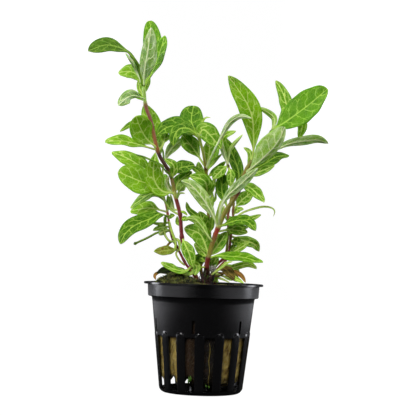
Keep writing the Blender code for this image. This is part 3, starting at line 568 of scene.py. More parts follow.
# Leaves that take the place of a solid of the same name.
LEAVES = (
    Leaf("top_leaf_arching_left", TALL, 140.3, ((-33, 148.4, 1), (-35.4, 152.4, -1.5), (-39.6, 156.8, -5),
         (-48.5, 159.1, -11), (-57, 156, -16)), 6, DULL, (0.25, -0.9, 0.5), peak=0.62, stalk=0.34, base=1.25,
         petiole=0.85),
    Leaf("top_leaf_left", TALL, 139.5, ((-32.6, 144.3, 5), (-37, 147, 8), (-42.7, 146.4, 11)), 7, BRIGHT,
         peak=0.55),
    Leaf("top_leaf_front", TALL, 140.5, ((-30.4, 148, -4), (-29.5, 155, -7), (-28.8, 161, -8.5),
         (-28, 167.8, -10)), 7.6, GREY, BACK, skew=-0.2),
    Leaf("top_leaf_back", TALL, 140, ((-27, 152, 7), (-27.3, 162, 11), (-28.9, 171, 14)), 9, DEEP,
         (0, -1, 0.2), peak=0.6, blunt=0.45),
    Leaf("top_leaf_right", TALL, 139, ((-26.2, 149, 2.5), (-23.9, 155.8, 2.5), (-21.5, 164.4, 2.5)), 6, DEEP,
         (-0.5, -0.8, 0.3), peak=0.56, base=0.85, stalk=0.18),
    Leaf("top_leaf_pale_left", TALL, 134.5, ((-34.4, 135.9, -3), (-37.9, 135, -6), (-42.2, 131.1, -9)), 5.4,
         GREY, (0.2, 0.9, 0.5), stalk=0.2),
    Leaf("left_leaf_blunt", TALL, 111.5, ((-28.5, 116, -6), (-31.5, 120.8, -11), (-33.8, 126.2, -15)), 10.5,
         BRIGHT, peak=0.6, blunt=0.42, base=1.15),
    Leaf("left_leaf_light", TALL, 110.5, ((-31, 112.8, -2.5), (-39, 114.5, -6), (-47.7, 113.9, -10)), 4.8,
         BRIGHT, UP_FRONT, peak=0.58, stalk=0.15),
    Leaf("left_leaf_behind_stem", TALL, 112.4, ((-24.4, 116, 5), (-26.3, 122.5, 8), (-30, 132, 11)), 9,
         BRIGHT),
    Leaf("left_leaf_middle", THIN, 99, ((-29, 102, 8.5), (-36, 106, 11), (-44.4, 109.4, 15)), 7.4, BRIGHT,
         UP_FRONT),
    Leaf("left_leaf_upright", TALL, 90.6, ((-21.2, 92.4, -6), (-24.8, 99, -7.5), (-24.2, 109.9, -8.5)), 8.6,
         BRIGHT, blunt=0.9, peak=0.45),
    Leaf("left_leaf_wide", TALL, 90, ((-22, 93.8, -1.5), (-31, 96.2, -5), (-41.2, 100.2, -9)), 12.2, BRIGHT,
         (0.0, -1.0, 0.6), peak=0.6, stalk=0.15, blunt=0.5),
    Leaf("left_leaf_dark_arch", TALL, 80.5, ((-17, 84, 1), (-20.6, 89.2, 0.5), (-25, 90.7, 1.5),
         (-29.8, 87.9, 3), (-35, 83.6, 5)), 4.8, MID, UP_FRONT, stalk=0.35),
    Leaf("low_left_leaf_light", THIN, 82, ((-20, 82.8, 6.5), (-26.8, 83.8, 9), (-35, 82.2, 12)), 6.2, BRIGHT,
         UP_FRONT, stalk=0.15, peak=0.56, base=1.2),
    Leaf("low_left_leaf_dark", THIN, 80.5, ((-21.5, 81.2, -1.5), (-25, 79.2, -2.5), (-32.4, 75.7, -5),
         (-36.9, 71.6, -8), (-39.1, 66.9, -10)), 7.5, DARK, UP_FRONT, stalk=0.15),
    Leaf("low_leaf_hanging", TALL, 70.5, ((-8.8, 66.8, -6), (-7, 63, -7.5), (-5.2, 57.4, -8)), 5.8),
    Leaf("leaf_on_wool", TALL, 57.2, ((-9, 55.2, -9), (-14, 56, -13), (-20, 58.8, -15)), 3.3, MID, UP_FRONT,
         peak=0.6),
    Leaf("centre_leaf_dark_round", CENTRE, 117.2, ((-7.9, 124.4, 7), (-7.3, 132, 11)), 11.2, DARK, peak=0.6,
         blunt=0.4),
    Leaf("centre_leaf_left", CENTRE, 116.8, ((-13, 122.2, 0.5), (-19, 121.6, 0.5), (-23.5, 118.2, -1)), 8.4,
         DARK),
    Leaf("centre_leaf_rolled", CENTRE, 117.4, ((-8.8, 121.2, -5), (-13.5, 120.9, -7.5), (-15.9, 117, -9),
         (-15.9, 113, -9.5)), 6, DARK),
    Leaf("centre_leaf_folded", CENTRE, 103.2, ((-4.8, 109.4, 1.5), (-8.6, 114.3, 3), (-12, 118.2, 4.5)), 7.6,
         peak=0.56, stalk=0.25, cup=0.3),
    Leaf("centre_leaf_top_right", CENTRE, 117, ((-2.4, 120.9, -4.5), (1.2, 118.2, -5.5), (6.2, 112.4, -6)),
         8.4, peak=0.33, base=0.7),
    Leaf("centre_leaf_yellow", CENTRE, 102.6, ((0.6, 109.6, 0.3), (0.9, 116.5, 0.3)), 6.6, BRIGHT, stalk=0.2,
         base=1.2),
    Leaf("centre_leaf_dark_right", RIGHT, 94, ((14.8, 100, 6), (12, 109, 8), (7.3, 118, 9)), 5.8, DARK),
    Leaf("centre_leaf_dark_low", RIGHT, 84, ((7.2, 92.3, 5), (7.3, 101, 4)), 6, DARK, peak=0.6, blunt=0.42),
    Leaf("centre_leaf_pale_front", MAIN, 75.3, ((3.9, 80.2, -8), (1, 85.3, -10), (-3.1, 90.9, -11.5),
         (-7.3, 95.1, -12), (-11.8, 97, -12.5)), 6.2, PALE, BACK, peak=0.58, base=0.9),
    Leaf("centre_leaf_very_dark", TALL, 99.3, ((-12, 103, 1), (-5.8, 104.3, 1)), 6.4, DARK, base=1.2),
    Leaf("centre_leaf_behind", CENTRE, 90, ((-1, 97, -2), (-8, 99.6, -3)), 6.2),
    Leaf("centre_leaf_beside_stem", TALL, 90.4, ((-13, 96.5, 3), (-7, 101.5, 5.5)), 5.4),
    Leaf("centre_leaf_low_back", CENTRE, 73, ((-1, 78, 4.5), (-3, 83, 2.5)), 6.4),
    Leaf("centre_leaf_glossy", MAIN, 68.5, ((1.2, 71.8, -7.5), (-1.2, 75.5, -8.3), (-4.5, 79, -8.5),
         (-9, 79.8, -8.5)), 4, MID, BACK, peak=0.6, base=1.1),
    Leaf("centre_leaf_veined", MAIN, 62, ((0.8, 66, -2.8), (-2.6, 72.6, -1.2), (-9.7, 75.2, 1)), 8.4,
         peak=0.52, base=0.6),
    Leaf("centre_leaf_low_right", MAIN, 61.4, ((7, 69, -2.2), (10, 74, -1.2)), 5.8),
    Leaf("right_leaf_upright", MAIN, 106, ((21.2, 112, -9), (21, 119, -11), (20.2, 127, -13.5),
         (17.4, 134, -15), (12.6, 141, -17), (8.4, 146.5, -19)), 10, BRIGHT, peak=0.55, base=1.05,
         blunt=0.68),
    Leaf("right_leaf_large", MAIN, 121.3, ((36.3, 126.2, -8), (45.9, 133.8, -12), (54.7, 141.7, -18)), 12.9,
         DEEP, (0.0, -1.0, 0.6), peak=0.52, stalk=0.05, blunt=0.5, base=0.75),
    Leaf("right_leaf_pale_front", MAIN, 100.5, ((24.3, 107.2, -12), (29.8, 113, -16), (33.2, 118, -18.5),
         (35.3, 123.5, -20)), 9.1, PALE, BACK, peak=0.55, skew=0.4, cup=0.3, blunt=0.5),
    Leaf("right_leaf_bright", MAIN, 120.8, ((36.3, 130, 1), (35.4, 135.4, 3), (33.4, 140.5, 5),
         (30.6, 144.9, 7)), 6.4, base=1.15),
    Leaf("right_leaf_bent_down", MAIN, 120.3, ((36, 123.6, -1), (41.2, 127, 3), (43.6, 124, 5),
         (42, 118.2, 6)), 4.8, BRIGHT, peak=0.6),
    Leaf("right_leaf_grey", MAIN, 106.6, ((31.5, 112.9, -4), (38, 115.9, -1), (46, 117.5, 3), (51, 117.9, 5),
         (55.8, 116.4, 7)), 4.3, PALE, (0.0, 0.8, 0.7), peak=0.66),
    Leaf("right_leaf_pale_narrow", MAIN, 76.5, ((6.3, 80.5, -9.3), (7, 85.5, -11), (9.8, 90.7, -12.5),
         (14, 94.6, -13.5), (18.5, 99, -15), (23.5, 104, -17)), 4.8, GREY, BACK, peak=0.52, stalk=0.3,
         petiole=0.55),
    Leaf("right_leaf_dark", MAIN, 100, ((27, 106.3, -3), (32, 109.4, 2), (37.8, 110.4, 6)), 5.6, DARK,
         UP_FRONT),
    Leaf("right_leaf_yellow", MAIN, 92.3, ((18, 95.4, -9), (21.9, 93.4, -12), (26.9, 88.2, -15)), 4.5, MID,
         UP_FRONT),
    Leaf("right_leaf_small_upright", REAR, 84, ((16.6, 88.9, 8), (21.6, 93.1, 9.5)), 6.2, stalk=0.2),
    Leaf("right_leaf_low", MAIN, 75.5, ((14, 79.2, -8), (19.3, 78.9, -12), (23.3, 75.1, -15)), 4.7, DARK,
         UP_FRONT),
    Leaf("right_leaf_lowest", MAIN, 61.2, ((5.5, 62.7, -5.5), (10, 62.7, -7), (18.5, 62.2, -11),
         (24, 60.9, -14), (27.1, 60.4, -15)), 4.5, DEEP, UP_FRONT),
    Leaf("dead_leaf_right", RIGHT, 56, ((9.2, 56.9, -4.5), (12.6, 54, -9), (16.2, 51.2, -12)), 3.6, DEAD,
         UP_FRONT, blunt=0.4),
    # Painted shade: this rotting leaf is near-black for the shade of the hollow it lies in.
    Leaf("dead_leaf_left", THIN, 55, ((-12, 55.3, 3), (-17, 55.4, 2.5), (-21.8, 54.2, 1)), 3.8, ROTTEN_SHADED,
         UP_FRONT),
    Leaf("back_leaf_middle", CENTRE, 81, ((1.5, 80, 15), (0.5, 79.5, 23), (-0.5, 76, 30)), 7, MID, UP_FRONT),
    Leaf("back_leaf_upper", CENTRE, 100.4, ((0.2, 102.6, 12), (2.2, 111, 20), (3, 117, 27)), 6.5, MID,
         UP_FRONT, stalk=0.4),
    Leaf("back_leaf_right", MAIN, 109, ((25.5, 112, 1), (28, 115, 9), (29.5, 115.5, 17)), 7, MID, UP_FRONT),
    Leaf("back_leaf_left", THIN, 92.5, ((-23, 96, 14), (-25, 98, 22), (-27, 97, 29)), 9, MID, UP_FRONT),
    Leaf("back_leaf_low", REAR, 75, ((14, 79, 14), (15, 80, 22), (16, 78, 28)), 8, MID, UP_FRONT),
)

# Small leaves and shoots, which the solids have fused to their stems.
SMALL_LEAVES = (
    Leaf("small_top_dark", TALL, 133.5, ((-33.5, 136.1, 5), (-35.2, 136, 7)), 3, DARK),
    Leaf("small_behind_blunt", TALL, 110.2, ((-27, 117.2, 1.2), (-34, 122.7, 1), (-41.1, 119, 1.5)), 3.6,
         DARK),
    Leaf("small_edge_on", TALL, 98, ((-18.8, 101.2, -9.8), (-24, 105.2, -11.5), (-33.5, 108.7, -13)), 1.2,
         DULL, (0, -0.3, 1)),
    Leaf("small_left_low", THIN, 75.5, ((-20, 75.2, 3), (-24.3, 73.6, 2)), 2.6, BRIGHT),
    Leaf("small_left_pale", THIN, 74, ((-19.6, 73.2, 2.5), (-21.4, 71.6, 0.5)), 3.4, MID, BACK),
    Leaf("small_left_stalk", THIN, 73.6, ((-22, 72.6, 2), (-26.5, 70.1, 1), (-32.9, 66.9, -1)), 1.5, DARK,
         peak=0.7, stalk=0.86),
    Leaf("small_wilted", THIN, 65, ((-17, 64.6, 0), (-19.8, 64.1, -1.5), (-23.4, 63.9, -3)), 4.4, WILTED,
         peak=0.5),
    Leaf("small_between_stems", TALL, 89, ((-18.2, 94.5, 0.5), (-17.9, 98.9, 1.5)), 2.8, PALE, BACK),
    Leaf("small_above_low_left", THIN, 82.6, ((-17.4, 85.6, 4.2), (-17.8, 90.3, 3.8)), 2.2),
    Leaf("small_pale_strap", CENTRE, 102.8, ((3, 111.5, -8.5), (6.2, 118.2, -11), (9.9, 124.6, -14),
         (14.7, 127.8, -18.5), (20, 127, -21)), 2.8, GREY, BACK, peak=0.6, stalk=0.3),
    Leaf("small_bright_right", RIGHT, 103.4, ((8, 111, 4), (7, 117.6, 4.5), (12.8, 120.9, 3)), 4.2, BRIGHT),
    Leaf("small_pale_tip", RIGHT, 105.2, ((10.5, 112.3, 3), (16, 119.4, 1)), 2, BRIGHT, BACK),
    Leaf("small_dark_right", CENTRE, 101.6, ((3.6, 106.8, 7.5), (6.9, 110.4, 7.5)), 1.7, DARK),
    Leaf("small_below_gap", CENTRE, 98.6, ((4.4, 102.4, 7), (8.4, 106.6, 7.5)), 3.2, DARK),
    Leaf("small_pale_upright", RIGHT, 104.6, ((7.4, 111, 2), (6.4, 116, 2)), 2, PALE, BACK),
    Leaf("small_left_over_stem", TALL, 97, ((-15.4, 103.5, -5), (-19.8, 106.9, -5)), 4.2),
    Leaf("small_centre_upright", CENTRE, 95.5, ((-3.2, 101.5, 4.5), (-4.2, 106, 4.5)), 4.2),
    Leaf("small_grey", TALL, 88.2, ((-12.6, 92.4, -5), (-10.2, 95.8, -6.5)), 4, DULL, BACK, stalk=0.45),
    Leaf("small_dark_hooked", CENTRE, 76.5, ((-2.6, 79.6, 6.5), (-7.6, 83.3, 5.5), (-9.2, 87.2, 5)), 3,
         DARK),
    Leaf("small_low_dark", MAIN, 59, ((-1.9, 61.5, -1.5), (-2.3, 57.3, -0.8)), 5, DARK),
    Leaf("small_low_hanging", TALL, 60, ((-3.6, 57.5, -5.2), (-4.2, 53.4, -6.5)), 3.8),
    Leaf("small_low_shoot", MAIN, 51.6, ((5.7, 55.5, -7), (10.1, 59.3, -12), (12.9, 60.3, -14)), 1.5, BRIGHT,
         stalk=0.4, petiole=0.55),
    Leaf("small_top_middle", MAIN, 119.6, ((30.5, 126.8, -4.5), (27.1, 130.1, -4.2), (22.2, 132.3, -4)), 3,
         MID, BACK),
    Leaf("small_right_below", MAIN, 98.8, ((24.8, 102.5, -8), (31.2, 105.4, -8.5)), 3.9),
    Leaf("small_left_of_pale", MAIN, 102.5, ((20, 108, -4), (19.3, 111.3, -3.2), (16.6, 113.3, -2.5)), 2.9),
    Leaf("small_tendril", REAR, 79.5, ((17.1, 83, 4), (22.7, 85.2, 2), (27, 86.1, 1), (30.5, 85.6, 0),
         (31.9, 84, 0), (31.2, 81.6, 0)), 1, BRIGHT),
    Leaf("small_brown_spot", MAIN, 76.2, ((15, 79.1, -2.5), (20, 80, -1.5), (25.6, 82.3, -1.5)), 2.7,
         peak=0.65),
    Leaf("small_grey_right", MAIN, 73.6, ((12, 75, -2.2), (19.6, 74, -2)), 4.8, GREY, stalk=0.3),
    Leaf("small_right_drooping", REAR, 72, ((18, 70.1, 7), (22.7, 68.8, 9), (25.3, 65.4, 11)), 4.8),
    Leaf("small_right_light", REAR, 63.5, ((16.6, 66.8, 1), (20.6, 69.6, -2)), 3.2, BRIGHT),
    Leaf("small_dark_round", REAR, 65, ((14.4, 64.8, 8.5), (16.8, 64.4, 10)), 3.2, DARK),
    Leaf("small_bluish", REAR, 61, ((14.5, 62.3, 4), (19, 61.3, 2), (24.4, 57.9, 1)), 2, DARK),
    Leaf("small_low_light", REAR, 60, ((12, 57.4, 0), (15, 58, -1.5), (20, 59.1, -3), (24.3, 57.3, -4)), 3.1,
         BRIGHT),
    Leaf("small_centre_pale", THIN, 104, ((-17.5, 111, 7.5), (-11.8, 116.4, 7)), 4.8, PALE, BACK, peak=0.62),
    Leaf("small_side_shoot", MAIN, 75, ((5.1, 80, -1.5), (6.2, 85, -0.5), (7.2, 88.5, 0)), 1.3, BRIGHT,
         stalk=0.9, petiole=0.7),
    Leaf("small_back_tall", TALL, 107.5, ((-23, 113, 8), (-22.8, 117.5, 15)), 4.4, MID, UP_FRONT),
    Leaf("small_back_top", TALL, 136, ((-30, 143.5, 11), (-30.3, 150, 16)), 5, MID, UP_FRONT),
    Leaf("small_back_low", RIGHT, 72, ((7.6, 72.6, 9), (8.3, 72, 15)), 3.4, MID, UP_FRONT),
)

# Sprigs: tiny leaves and stalks between the others, which the solids don't have.
SPRIGS = (
    Leaf("sprig_top_fold", TALL, 140.2, ((-34.2, 147.5, 1.5), (-36.4, 151.4, -4), (-39.7, 155.7, -8)), 2,
         GREY, BACK),
    Leaf("sprig_left_upper", TALL, 110, ((-20.8, 113.6, 2), (-19.8, 119.5, 3)), 4.6, BRIGHT, stalk=0.5),
    Leaf("sprig_under_fold", CENTRE, 98, ((-4, 101.5, 2), (-8, 104.2, 1.5)), 2.8, DARK),
    Leaf("sprig_hanging_right", RIGHT, 105, ((6.8, 102.5, 2), (2.6, 98.2, 1)), 5),
    Leaf("sprig_right_inner", RIGHT, 104, ((11, 101, 1.5), (10.8, 95, 1)), 4.4),
    Leaf("sprig_centre_inner", CENTRE, 89, ((2.2, 93.5, 3), (3.8, 99, 3.5)), 2.8),
    Leaf("sprig_right_back", REAR, 82, ((15, 84.3, 5), (17.4, 84.8, 4)), 2.6),
    Leaf("sprig_low_back", RIGHT, 72, ((14, 76, 1), (19.8, 76.2, 0)), 3, DARK),
    Leaf("sprig_dark_middle", REAR, 70, ((14, 69.6, 5), (17.2, 68.6, 4)), 4.2, DARK),
    Leaf("sprig_beside_main", CENTRE, 73, ((3, 76.5, 6), (3, 82, 6)), 2.4, DARK),
    Leaf("sprig_low_curled", RIGHT, 55, ((3.2, 57.5, 0), (6.4, 62.4, -1)), 4.4),
    Leaf("sprig_cluster", THIN, 79.6, ((-16.2, 80.4, 3), (-14.4, 80.9, 2)), 2, DARK),
    Leaf("sprig_arched", TALL, 82.5, ((-10, 82.3, -4), (-8.5, 81, -4)), 1.2, DARK),
    Leaf("sprig_pale_stalk", THIN, 78, ((-15.6, 73.5, 2.5), (-13.5, 68, 2), (-14, 64.4, 1.5)), 1.2, PALE,
         stalk=0.9, petiole=0.55),
    Leaf("sprig_thin_stalk", THIN, 64.8, ((-13.2, 63, 0), (-11.5, 60, -2), (-9, 57.9, -4)), 0.8, WILTED,
         stalk=0.9, petiole=0.36),
    Leaf("sprig_cross_stalk", TALL, 58.5, ((-3, 57.2, -5), (0.4, 57.4, -5.5)), 0.7, WILTED, stalk=0.9,
         petiole=0.34),
    Leaf("sprig_dark_stalk", THIN, 69, ((-16, 68.3, 3), (-17.9, 66, 2)), 0.9, DEAD, stalk=0.8, petiole=0.45),
    Leaf("sprig_behind_tall", THIN, 70.5, ((-12.1, 69, 2), (-11.5, 64.4, 1)), 1.4),
    Leaf("sprig_beside_arch", TALL, 83, ((-15.2, 83.8, 0), (-16.1, 87, 0.5), (-16.6, 90.6, 1)), 2, MID,
         BACK),
    Leaf("sprig_low_left", THIN, 77.4, ((-20.3, 76.6, 3), (-24.9, 76.9, 2)), 1.6),
    Leaf("sprig_down_left", THIN, 80.6, ((-18.7, 79.6, 4), (-18.6, 75.6, 3)), 1.5, DARK),
    Leaf("sprig_between_low", TALL, 75.6, ((-13, 77.5, -1), (-13.2, 80.5, -1)), 1.8, DARK),
    Leaf("sprig_left_petiole", THIN, 68.6, ((-16.6, 69, 2), (-18.5, 71.5, 2), (-19.2, 74, 2)), 1.2, BRIGHT,
         stalk=0.9, petiole=0.45),
    Leaf("sprig_under_veined", MAIN, 61, ((-1, 64.5, -1.5), (-4.9, 68.2, -1)), 4.4),
    Leaf("sprig_root_dark", MAIN, 51, ((-1, 53.5, -3), (-1.7, 58.6, -3)), 1.6, DEAD, stalk=0.9, petiole=0.7),
    Leaf("sprig_beside_low", CENTRE, 82, ((2.6, 86.5, 5), (2.6, 92.6, 5)), 2.2),
    Leaf("sprig_over_centre", CENTRE, 117.6, ((-3, 124.3, 3), (-1.3, 126.6, 2), (0.7, 126.8, 1)), 1.3),
    Leaf("sprig_hook", TALL, 87.5, ((-12.5, 90.9, -3), (-9.9, 91.3, -3.5)), 0.8, PALE, stalk=0.4),
    Leaf("sprig_under_wool_leaf", TALL, 56.5, ((-6, 54.2, -6), (-10.2, 53.6, -8)), 1.8),
    Leaf("sprig_top_base", TALL, 134.6, ((-32.2, 138.5, 3), (-33.5, 142.8, 4)), 2.6, BRIGHT),
    Leaf("sprig_pale_fold", THIN, 104.5, ((-17, 111.5, 8), (-12.4, 115, 7.5), (-10, 111, 7)), 3, PALE, BACK,
         stalk=0.55),
    Leaf("sprig_centre_low", CENTRE, 86, ((4, 88.6, 6), (4.2, 92.6, 6)), 1.2),
    Leaf("sprig_shoot_leaf", MAIN, 78, ((7.6, 82.5, -2), (8.4, 86.2, -1.5)), 1.8, BRIGHT),
    Leaf("sprig_beside_tall", TALL, 79, ((-10, 79.5, -4), (-7.8, 79, -4.5)), 2.4, DARK),
    Leaf("sprig_dark_inner", REAR, 65.5, ((12.9, 66.6, 5), (13.5, 68.6, 4.5)), 2.6, DARK),
    Leaf("sprig_below_light", REAR, 56.5, ((12, 57.2, 1), (16.4, 56, 0)), 3.4),
    Leaf("sprig_amber_left", THIN, 56, ((-14, 54, 4), (-20.5, 54.2, 3), (-22.7, 52.8, 1), (-22.2, 50.9, 0)),
         1.5, AMBER, stalk=0.6, peak=0.6),
    Leaf("sprig_rim_bright", RIGHT, 55, ((11, 52.8, -6), (14.6, 52.4, -11), (18.4, 50.6, -15)), 2.4, BRIGHT,
         stalk=0.3),
    Leaf("sprig_amber_right", RIGHT, 56.5, ((12, 56, -5), (15, 55.3, -8), (17.6, 53.6, -10),
         (19.3, 50.9, -12)), 2, AMBER, stalk=0.35, peak=0.6),
    Leaf("sprig_rim_stalk", RIGHT, 52, ((7.2, 52.4, -3), (11.9, 50.7, -8)), 1, BRIGHT),
    Leaf("sprig_rim_green", RIGHT, 53, ((7, 54.1, -2), (9.6, 54.6, -5)), 2.2, DEAD),
    Leaf("sprig_rim_dark", RIGHT, 51.5, ((4.6, 51.6, -3), (6.6, 50.8, -6)), 2.6, DARK),
)


def place_object(name: str, data: bpy.types.ID) -> bpy.types.Object:
    """Puts an object in the scene.

    Args:
        name: the object's name.
        data: its mesh, light or camera.

    Returns:
        The object.
    """
    obj = bpy.data.objects.new(name, data)
    bpy.context.scene.collection.objects.link(obj)
    return obj


def mesh_from(name: str, verts: Sequence[Vector], faces: Faces) -> bpy.types.Mesh:
    """Makes a smooth-shaded mesh.

    Args:
        name: the mesh's name.
        verts: its points in millimetres.
        faces: its faces.

    Returns:
        The mesh, in metres.
    """
    mesh = bpy.data.meshes.new(name)
    mesh.from_pydata([tuple(v * MM) for v in verts], [], faces)
    mesh.shade_smooth()
    return mesh


def piece_from(name: str, mesh: bpy.types.Mesh, materials: Sequence[bpy.types.Material]) -> bpy.types.Object:
    """Makes a piece of the plant that rides on its body.

    Args:
        name: the piece's name.
        mesh: its shape.
        materials: its finishes.

    Returns:
        The piece.
    """
    piece = place_object(name, mesh)
    for material in materials:
        mesh.materials.append(material)
    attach(piece, "root")
    return piece


@dataclass(frozen=True)
class LeafFinish:
    """The finish of one side of a leaf of this length in millimetres, with this many pairs of laterals."""

    tone: Tone
    upper: bool
    length: float
    pairs: float

    # The whitish colour of the painted sheen.
    PAINTED_SHEEN = srgb(216, 230, 192)
    VEIN_WIDTH = 0.52
    TINT = 0.3
    RELIEF = 0.12

    def material(self, name: str) -> bpy.types.Material:
        """Builds the material: the blade's flesh, veins, painted sheen, gloss and vein relief.

        Args:
            name: the leaf that it is for.

        Returns:
            The material of this side.
        """
        side = self.tone.value[0 if self.upper else 1]
        flesh, shade, vein = (srgb(*colour) for colour in (side.flesh, side.shade, side.vein))
        material, shader, w = new_material(f"{name}_{'upper' if self.upper else 'under'}")
        share = w.add("UVMap", uv_map="blade_share").outputs[0]
        place = w.add("UVMap", uv_map="blade_place").outputs[0]
        place = w.times(place, (MAP_MM, MAP_MM, 0.0), (-0.5 * MAP_MM, 0.0, 0.0))
        veins = VeinGroup.node(w, {"Share": share, "Place": place, "Length": self.length, "Pairs": self.pairs,
                                   "Width": self.VEIN_WIDTH}).outputs
        colour = w.mix(w.mottles(place, 0.16, 0.35, 0.7), flesh, shade)
        tint = w.add("Attribute", attribute_name="tint").outputs["Fac"]
        colour = w.mix(w.math("MULTIPLY", tint, self.TINT), colour, shade)
        strong = w.math("MULTIPLY", veins["Laterals"], side.veins)
        colour = w.mix(w.math("MAXIMUM", strong, w.math("MULTIPLY", veins["Net"], side.net)), colour, vein)
        colour = w.mix(w.math("MULTIPLY", veins["Midrib"], side.veins + 0.1), colour, vein)
        # Painted sheen: whitish streaks along the blade stand for the shine of a glossy under side.
        if side.painted_sheen:
            sheen_streaks = w.mottles(w.times(place, (1.0, 0.22, 0.0)), 0.5, 0.4, 0.66, side.painted_sheen)
            colour = w.mix(sheen_streaks, colour, self.PAINTED_SHEEN)
        grain = w.noise(place, 1.8)
        w.feed(shader, {
            "Base Color": colour,
            "Roughness": w.math("MULTIPLY_ADD", grain, 0.18, side.gloss - 0.06),
            "Subsurface Weight": 0.25,
            "Subsurface Scale": 0.001,
            "Subsurface Radius": (0.6, 1.0, 0.2),
            "Specular IOR Level": 0.1 if self.upper else 0.24,
        })
        raised = w.math("MAXIMUM", veins["Laterals"], w.math("MULTIPLY", veins["Net"], 0.6))
        height = w.math("MULTIPLY_ADD", grain, 0.35, w.math("MULTIPLY", raised, -1.0 if self.upper else 1.0))
        w.relief(shader, height, 0.5, self.RELIEF)
        return material


@dataclass(frozen=True)
class SkinFinish:
    """A finish whose colour is painted on the mesh, with streaks, specks, gloss and relief of its own.

    The stretch is the streaks' noise scale along each axis, for one metre, and the depth is in millimetres.
    """

    name: str
    stretch: Point
    streak: Colour
    speck: Colour
    roughness: float
    depth: float
    strength: float = 0.6

    SPECK_SCALE = 1500.0
    SPECULAR = 0.35

    def material(self, piece: str) -> bpy.types.Material:
        """Builds the material.

        Args:
            piece: the name of the piece that it is for.

        Returns:
            The material.
        """
        material, shader, w = new_material(f"{piece}_{self.name}")
        skin = w.add("Attribute", attribute_name="skin").outputs["Color"]
        place = w.add("TexCoord").outputs["Object"]
        long = w.times(place, self.stretch)
        colour = w.mix(w.mottles(long, 1.0, 0.42, 0.68, 0.6), skin, self.streak, "SOFT_LIGHT")
        colour = w.mix(w.mottles(place, self.SPECK_SCALE, 0.6, 0.75, 0.35), colour, self.speck)
        w.feed(shader, {"Base Color": colour, "Roughness": w.mottles(long, 1.0, 0.0, 1.0, self.roughness),
                        "Specular IOR Level": self.SPECULAR})
        w.relief(shader, w.noise(long, 1.0), self.strength, self.depth)
        return material

    def piece(self, name: str, verts: Sequence[Vector], faces: Faces, colours: Sequence[Colour],
              slot: str) -> bpy.types.Object:
        """Makes a piece with this finish over a colour at each of its points.

        Args:
            name: the piece's name.
            verts: its points in millimetres.
            faces: its faces.
            colours: the colour at each point.
            slot: the record's material slot that it belongs to; not used.

        Returns:
            The piece.
        """
        mesh = mesh_from(name, verts, faces)
        skin = mesh.color_attributes.new("skin", "FLOAT_COLOR", "POINT")
        skin.data.foreach_set("color", [c for colour in colours for c in (*colour, 1.0)])
        return piece_from(name, mesh, [self.material(name)])


STEM_SKIN = SkinFinish("skin", (2600.0, 2600.0, 420.0), srgb(178, 140, 100), srgb(60, 30, 20), 0.8, 0.08)
WOOL_SKIN = SkinFinish("wool", (1500.0, 1500.0, 700.0), srgb(196, 184, 126), srgb(60, 48, 20), 1.7, 0.4, 0.9)
FIBRE_SKIN = SkinFinish("fibre", (900.0, 900.0, 900.0), srgb(190, 178, 120), srgb(80, 66, 30), 1.6, 0.02)
MOSS_SKIN = SkinFinish("moss", (700.0, 700.0, 700.0), srgb(74, 88, 26), srgb(120, 126, 50), 1.2, 0.03)
ROOT_SKIN = SkinFinish("root", (1200.0, 1200.0, 500.0), srgb(50, 26, 14), srgb(20, 10, 6), 1.0, 0.05)


